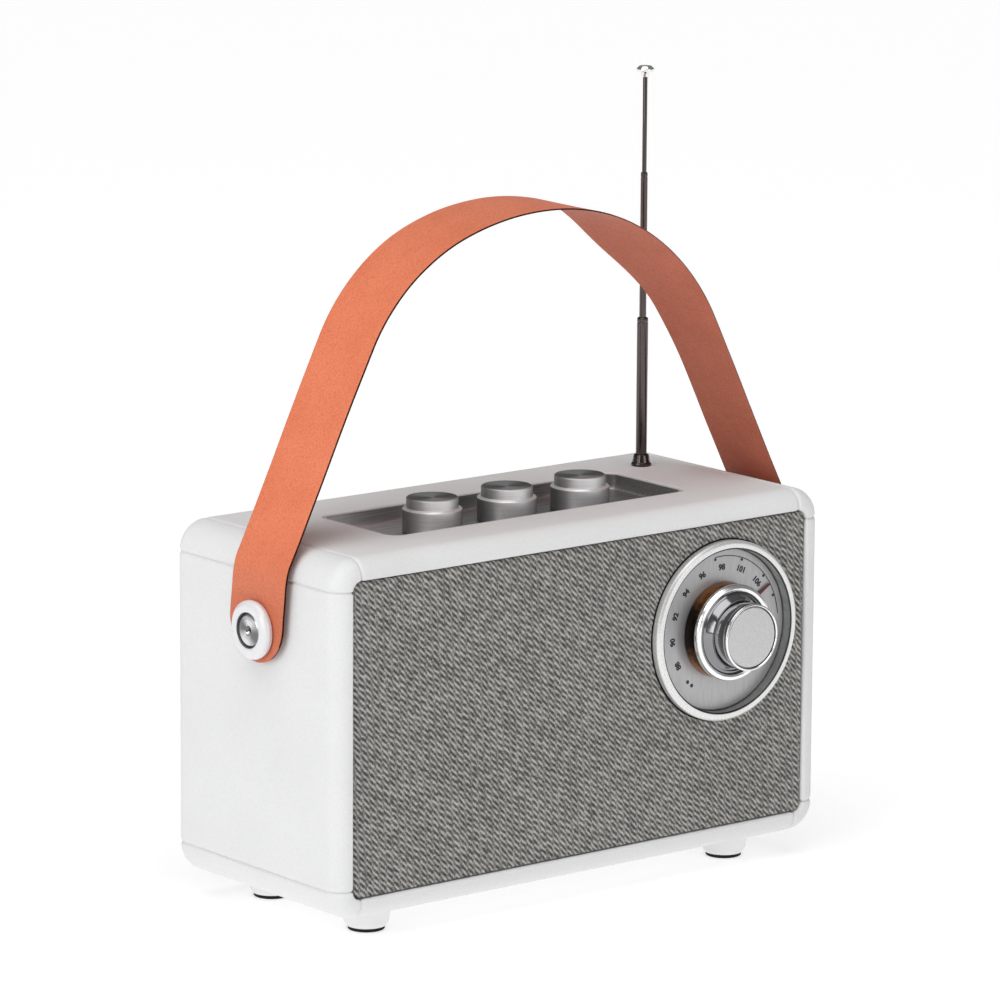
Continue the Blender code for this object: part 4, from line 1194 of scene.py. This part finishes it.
def strap_half(side):
    """Middle line of one half of the strap from its lower end to its top, with x outwards."""
    corner_x = SIDE - CORNER
    corner_z = TOP - CORNER
    bend = STRAP_STAND_OFF + (STRAP_BULGE if side > 0 else 0.0)
    lean_cos, lean_sin = math.cos(STRAP_LEAN), math.sin(STRAP_LEAN)
    shoulder = STRAP_SHOULDERS[side]
    top_z = STRAP_HIGH.z - STRAP_THICKNESS / 2 - STRAP_TOP_RADIUS
    rise = corner_x * lean_cos + corner_z * lean_sin + bend - shoulder - top_z * lean_sin
    along = math.sqrt((STRAP_TOP_RADIUS - shoulder) ** 2 - rise * rise)
    shoulder_x = rise * lean_cos - along * lean_sin
    shoulder_z = top_z + rise * lean_sin + along * lean_cos
    meet = math.degrees(math.atan2(shoulder_z - top_z, shoulder_x))
    lean = math.degrees(STRAP_LEAN)
    foot_x = corner_x + STRAP_STAND_OFF
    path = []
    end_steps = 12
    for i in range(end_steps + 1):
        depth = STRAP_END_ROUND * (1 - math.cos(math.radians(90 * i / end_steps)))
        path.append((foot_x, STRAP_LOW.z + depth))
    straight = PIVOT_Z + BUTTON_RADIUS - path[-1][1]
    path += [(foot_x, path[end_steps][1] + straight * i / 4) for i in range(1, 5)]
    bend_start = on_circle(corner_x, corner_z, bend, STRAP_LEAVE)
    path += s_curve(path[-1], bend_start, STRAP_LEAVE, 8)
    path += arc(corner_x, corner_z, bend, STRAP_LEAVE, lean, 6)
    leg_start = Vector(path[-1])
    leg_end = Vector(on_circle(shoulder_x, shoulder_z, shoulder, lean))
    path += [tuple(leg_start.lerp(leg_end, i / 20)) for i in range(1, 20)]
    path += arc(shoulder_x, shoulder_z, shoulder, lean, meet, 28)
    path += arc(0, top_z, STRAP_TOP_RADIUS, meet, 90, 20)[1:]
    return path


def strap_path():
    """Middle line of the strap from its left end to its right end, as (x, z, normal x,
    normal z), with the normal pointing outwards."""
    line = [(-x, z) for x, z in strap_half(-1)] + list(reversed(strap_half(1)))[1:]
    path = []
    for i, (x, z) in enumerate(line):
        before = Vector(line[max(i - 1, 0)])
        after = Vector(line[min(i + 1, len(line) - 1)])
        along = (after - before).normalized()
        path.append((x, z, -along.y, along.x))
    return path


def strap_half_width(z):
    """Half the strap's width at a height, narrowing round its ends."""
    depth = z - STRAP_LOW.z
    if depth >= STRAP_END_ROUND:
        return STRAP_HALF_WIDTH
    flat = STRAP_HALF_WIDTH - STRAP_END_ROUND
    return flat + math.sqrt(max(0.0, STRAP_END_ROUND**2 - (STRAP_END_ROUND - depth) ** 2))


def dip(x, depth, low, high):
    """A soft hollow between two places along X."""
    reach = (x - low) / (high - low)
    if not 0 < reach < 1:
        return 0.0
    return depth * math.sin(math.pi * reach) ** 2


def strap_sag(x, across):
    """How far the band sags: its front edge on the left, its rear edge on the right."""
    rear_share = 0.5 + 0.5 * across / STRAP_HALF_WIDTH
    return (1 - rear_share) * dip(x, *FRONT_DIP) + rear_share * dip(x, *REAR_DIP)


def strap_drift(x, z):
    """Each leg leans a little off the upright, most of all where it leaves the cabinet."""
    rising = smooth_step(z, PIVOT_Z, TOP - 6 * MM)
    falling = 1 - smooth_step(z, TOP - 6 * MM, TOP + 62 * MM)
    return DRIFT[-1 if x < 0 else 1] * rising * falling


def faces_inwards(face):
    """Whether a face of the strap looks towards the middle of the cabinet's top."""
    inwards = Vector((0, STRAP_Y, TOP)) - face.center
    return face.normal.dot(inwards) > 0


def strap_section(half_width):
    """The strap's outline at one place as (across, out), with points spread over its sides."""
    half_thick = STRAP_THICKNESS / 2
    outline = filleted([
        (-half_width, half_thick, STRAP_EDGE), (half_width, half_thick, STRAP_EDGE),
        (half_width, -half_thick, STRAP_EDGE), (-half_width, -half_thick, STRAP_EDGE),
    ], closed=True, steps=4)
    section = []
    for k, point in enumerate(outline):
        section.append(point)
        following = outline[(k + 1) % len(outline)]
        if abs(following[0] - point[0]) > 2 * MM:
            for m in range(1, STRAP_STRIPS):
                t = m / STRAP_STRIPS
                section.append((point[0] * (1 - t) + following[0] * t, point[1]))
    return section


def make_strap():
    """A band of leather with rounded, painted edges and a soft wave in its surface."""
    rows = []
    for x, z, normal_x, normal_z in strap_path():
        row = []
        for across, out in strap_section(strap_half_width(z)):
            place = Vector((x, STRAP_Y + across + strap_drift(x, z), z))
            wave = 0.10 * MM * noise.noise(place * 60.0) - strap_sag(x, across)
            row.append(place + Vector((normal_x, 0, normal_z)) * (out + wave))
        rows.append(row)
    mesh = mesh_from_rows("strap_band", rows, close_columns=True, caps=True)
    for face in mesh.polygons:
        if abs(face.normal.y) > 0.5:
            face.material_index = 1
        # faces looking inwards get the darker copy of the leather: painted shade
        elif faces_inwards(face):
            face.material_index = 2
    piece = new_piece("strap_band", mesh, ["tan_leather", "tan_edge", "tan_back_shaded"])
    drill = prism_mesh(circle(0, 0, STRAP_BORE, 48), 12 * MM)
    holes = [(drill.copy(), facing_side(side * SIDE, STRAP_Y, PIVOT_Z, side)) for side in (-1, 1)]
    cut(piece, holes)
    smooth(piece, 50)
    show_as(piece, "carrying_strap", "strap", slot="tan_leather")


def make_strap_fixings():
    """A dished button and a domed screw at each end of the strap."""
    face = 3.1
    top = face + 3.3
    button = [
        (5.7, top - 0.35, 0.3), (6.4, top, 0.4), (7.9, top - 0.1, 1.0), (9.2, top - 0.9, 0.9),
        (9.5, top - 2.0, 0.5), (9.2, face, 0.2), (4.0, face, 0.1), (4.0, 0.3, 0.1),
        (1.9, 0.3, 0.1), (1.9, top - 1.9, 0.1), (5.5, top - 1.7, 0.2),
    ]
    screw = [
        (0, top - 1.9, 0), (0.9, top - 1.7, 0.2), (1.5, top - 0.6, 0.4), (3.2, top - 0.35, 0.8),
        (4.7, top - 0.6, 0.6), (5.3, top - 1.0, 0.2), (5.3, top - 1.55, 0.1),
        (1.5, top - 1.55, 0.1), (1.5, 0.4, 0), (0, 0.4, 0),
    ]
    for name, side in (("left", -1), ("right", 1)):
        place = facing_side(side * SIDE, STRAP_Y, PIVOT_Z, side)
        piece = turned("button_" + name, button, ["white_gloss", "dark_recess"], place)
        # painted shade: the recess round the screw gets a dark finish
        finish_where(piece, 1, lambda radius, height: radius < 5.78)
        show_as(piece, "cabinet", "strap_button_" + name, slot="white_gloss")
        piece = turned("button_screw_" + name, screw, ["screw_chrome", "screw_dimple"], place, 64)
        # painted shade: the dimple in the middle of the screw is black
        finish_where(piece, 1, lambda radius, height: radius < 1.0)
        show_as(piece, "cabinet", "strap_screw_" + name, slot="polished_chrome")


# ---------------------------------------------------------------- back and feet
def make_feet():
    """Four tapered feet, each on a rubber pad."""
    foot = [(0, 8.2, 0), (8.0, 8.2, 0.2), (8.0, 7.4, 0.5), (7.1, 2.4, 0.8), (6.3, 1.2, 0.4),
            (0, 1.2, 0)]
    pad = [(0, 1.1, 0), (5.9, 1.1, 0.1), (5.9, 0.2, 0.2), (5.6, 0.0, 0.1), (0, 0.0, 0)]
    for place_name in ("front_left", "front_right", "rear_left", "rear_right"):
        spot = centre_of("foot_" + place_name)
        place = Matrix.Translation((spot.x, spot.y, 0))
        piece = turned("leg_" + place_name, foot, ["foot_white"], place, 64)
        show_as(piece, "cabinet", "foot_" + place_name, slot="white_gloss")
        piece = turned("sole_" + place_name, pad, ["black_rubber"], place, 48)
        show_as(piece, "cabinet", "foot_pad_" + place_name, slot="black_rubber")


def make_back():
    """The back cover, open for the sockets, and its four screws."""
    low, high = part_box("back_cover")
    centre = (low + high) / 2
    plate_centre = centre_of("socket_plate")
    outline = rounded_rectangle((high.x - low.x) / 2, (high.z - low.z) / 2, 2.7 * MM, 8)
    window = [(x - plate_centre.x + centre.x, z + plate_centre.z - centre.z)
              for x, z in rounded_rectangle(28.0 * MM, 9.0 * MM, 3.0 * MM, 8)]
    holes = []
    for i in range(1, 5):
        spot = centre_of("cover_screw_" + str(i))
        holes.append(circle(centre.x - spot.x, spot.z - centre.z, 1.4 * MM, 24))
    piece = flat_piece("rear_cover", [outline, window, *holes], high.y - low.y, 0.4 * MM,
                       "black_plastic", facing_back(centre))
    show_as(piece, "cabinet", "back_cover", slot="black_plastic")
    head = [(0, 1.0, 0), (0.35, 1.1, 0), (0.6, 1.35, 0), (1.6, 1.4, 0.3), (2.5, 0.8, 0.3),
            (2.5, 0.3, 0.1), (1.0, 0.3, 0.05), (1.0, -10.0, 0), (0, -10.0, 0)]
    for i in range(1, 5):
        node = "cover_screw_" + str(i)
        spot = centre_of(node)
        place = facing_back((spot.x, high.y, spot.z))
        piece = turned("rear_screw_" + str(i), head, ["steel"], place, 32, 3)
        show_as(piece, "cabinet", node, slot="steel")


def make_sockets():
    """The recessed plate with a charging socket, an audio socket and the switch's slot."""
    low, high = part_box("socket_plate")
    centre = (low + high) / 2
    outline = rounded_rectangle((high.x - low.x) / 2, (high.z - low.z) / 2, 3.0 * MM, 8)
    usb = [(x + 16 * MM, y) for x, y in rounded_rectangle(4.8 * MM, 2.0 * MM, 1.8 * MM, 8)]
    audio = circle(0, 0, 1.9 * MM, 48)
    slot = [(x - 16 * MM, y) for x, y in rounded_rectangle(5.5 * MM, 2.6 * MM, 0.6 * MM, 4)]
    piece = flat_piece("rear_sockets", [outline, usb, audio, slot], high.y - low.y, 0.25 * MM,
                       "black_plastic", facing_back(centre))
    show_as(piece, "cabinet", "socket_plate", slot="black_plastic")


def make_switch():
    """A sliding button with three grip ridges."""
    low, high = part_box("power_switch")
    centre = (low + high) / 2
    half = (high - low) / 2
    profile = [(-half.x, -half.y, 0.1 * MM), (-half.x, half.y * 0.8, 0.35 * MM)]
    for ridge in (-0.5, 0.0, 0.5):
        x = ridge * half.x
        profile += [(x - 0.45 * MM, half.y * 0.8, 0.1 * MM), (x - 0.2 * MM, half.y, 0.1 * MM),
                    (x + 0.2 * MM, half.y, 0.1 * MM), (x + 0.45 * MM, half.y * 0.8, 0.1 * MM)]
    profile += [(half.x, half.y * 0.8, 0.35 * MM), (half.x, -half.y, 0.1 * MM)]
    outline = filleted(profile, closed=True, steps=3)
    rows = []
    for z, inset in ((-half.z, 0.25 * MM), (-half.z + 0.25 * MM, 0.0),
                     (half.z - 0.25 * MM, 0.0), (half.z, 0.25 * MM)):
        shrink = 1 - inset / half.x
        rows.append([Vector((x * shrink, y * shrink, z)) for x, y in outline])
    mesh = mesh_from_rows("power_slider", rows, close_columns=True, caps=True)
    piece = new_piece("power_slider", mesh, ["white_gloss"], Matrix.Translation(centre))
    smooth(piece, 40)
    show_as(piece, "power_button", "power_switch", slot="white_gloss")


INNER_FINISHES = {
    "black_board": ("cabinet_shell", "baffle_board"),
    "black_plastic": ("tuner_unit",),
    "circuit_board": ("control_board", "main_board"),
    "battery_sleeve": ("battery_cell",),
    "speaker_cone": ("speaker_cone_left", "speaker_cone_right"),
    "steel": ("socket_block", "speaker_basket_left", "speaker_basket_right", "tuning_shaft",
              "volume_spindle", "bass_spindle", "treble_spindle"),
}


def finish_inner_nodes():
    """The CAD solids that stay get procedural materials."""
    for finish, nodes in INNER_FINISHES.items():
        for node in nodes:
            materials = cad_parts[node].data.materials
            materials.clear()
            materials.append(MATERIALS[finish])


make_materials()
make_camera()
make_studio()
make_covering()
make_tray_fold()
make_grille()
make_bezel()
make_dial_plate()
make_scale_lines()
make_scale_numbers()
make_tuning_knob()
make_needle()
make_tray()
make_controls()
make_aerial()
make_strap()
make_strap_fixings()
make_feet()
make_back()
make_sockets()
make_switch()
finish_inner_nodes()

bpy.context.view_layer.update()
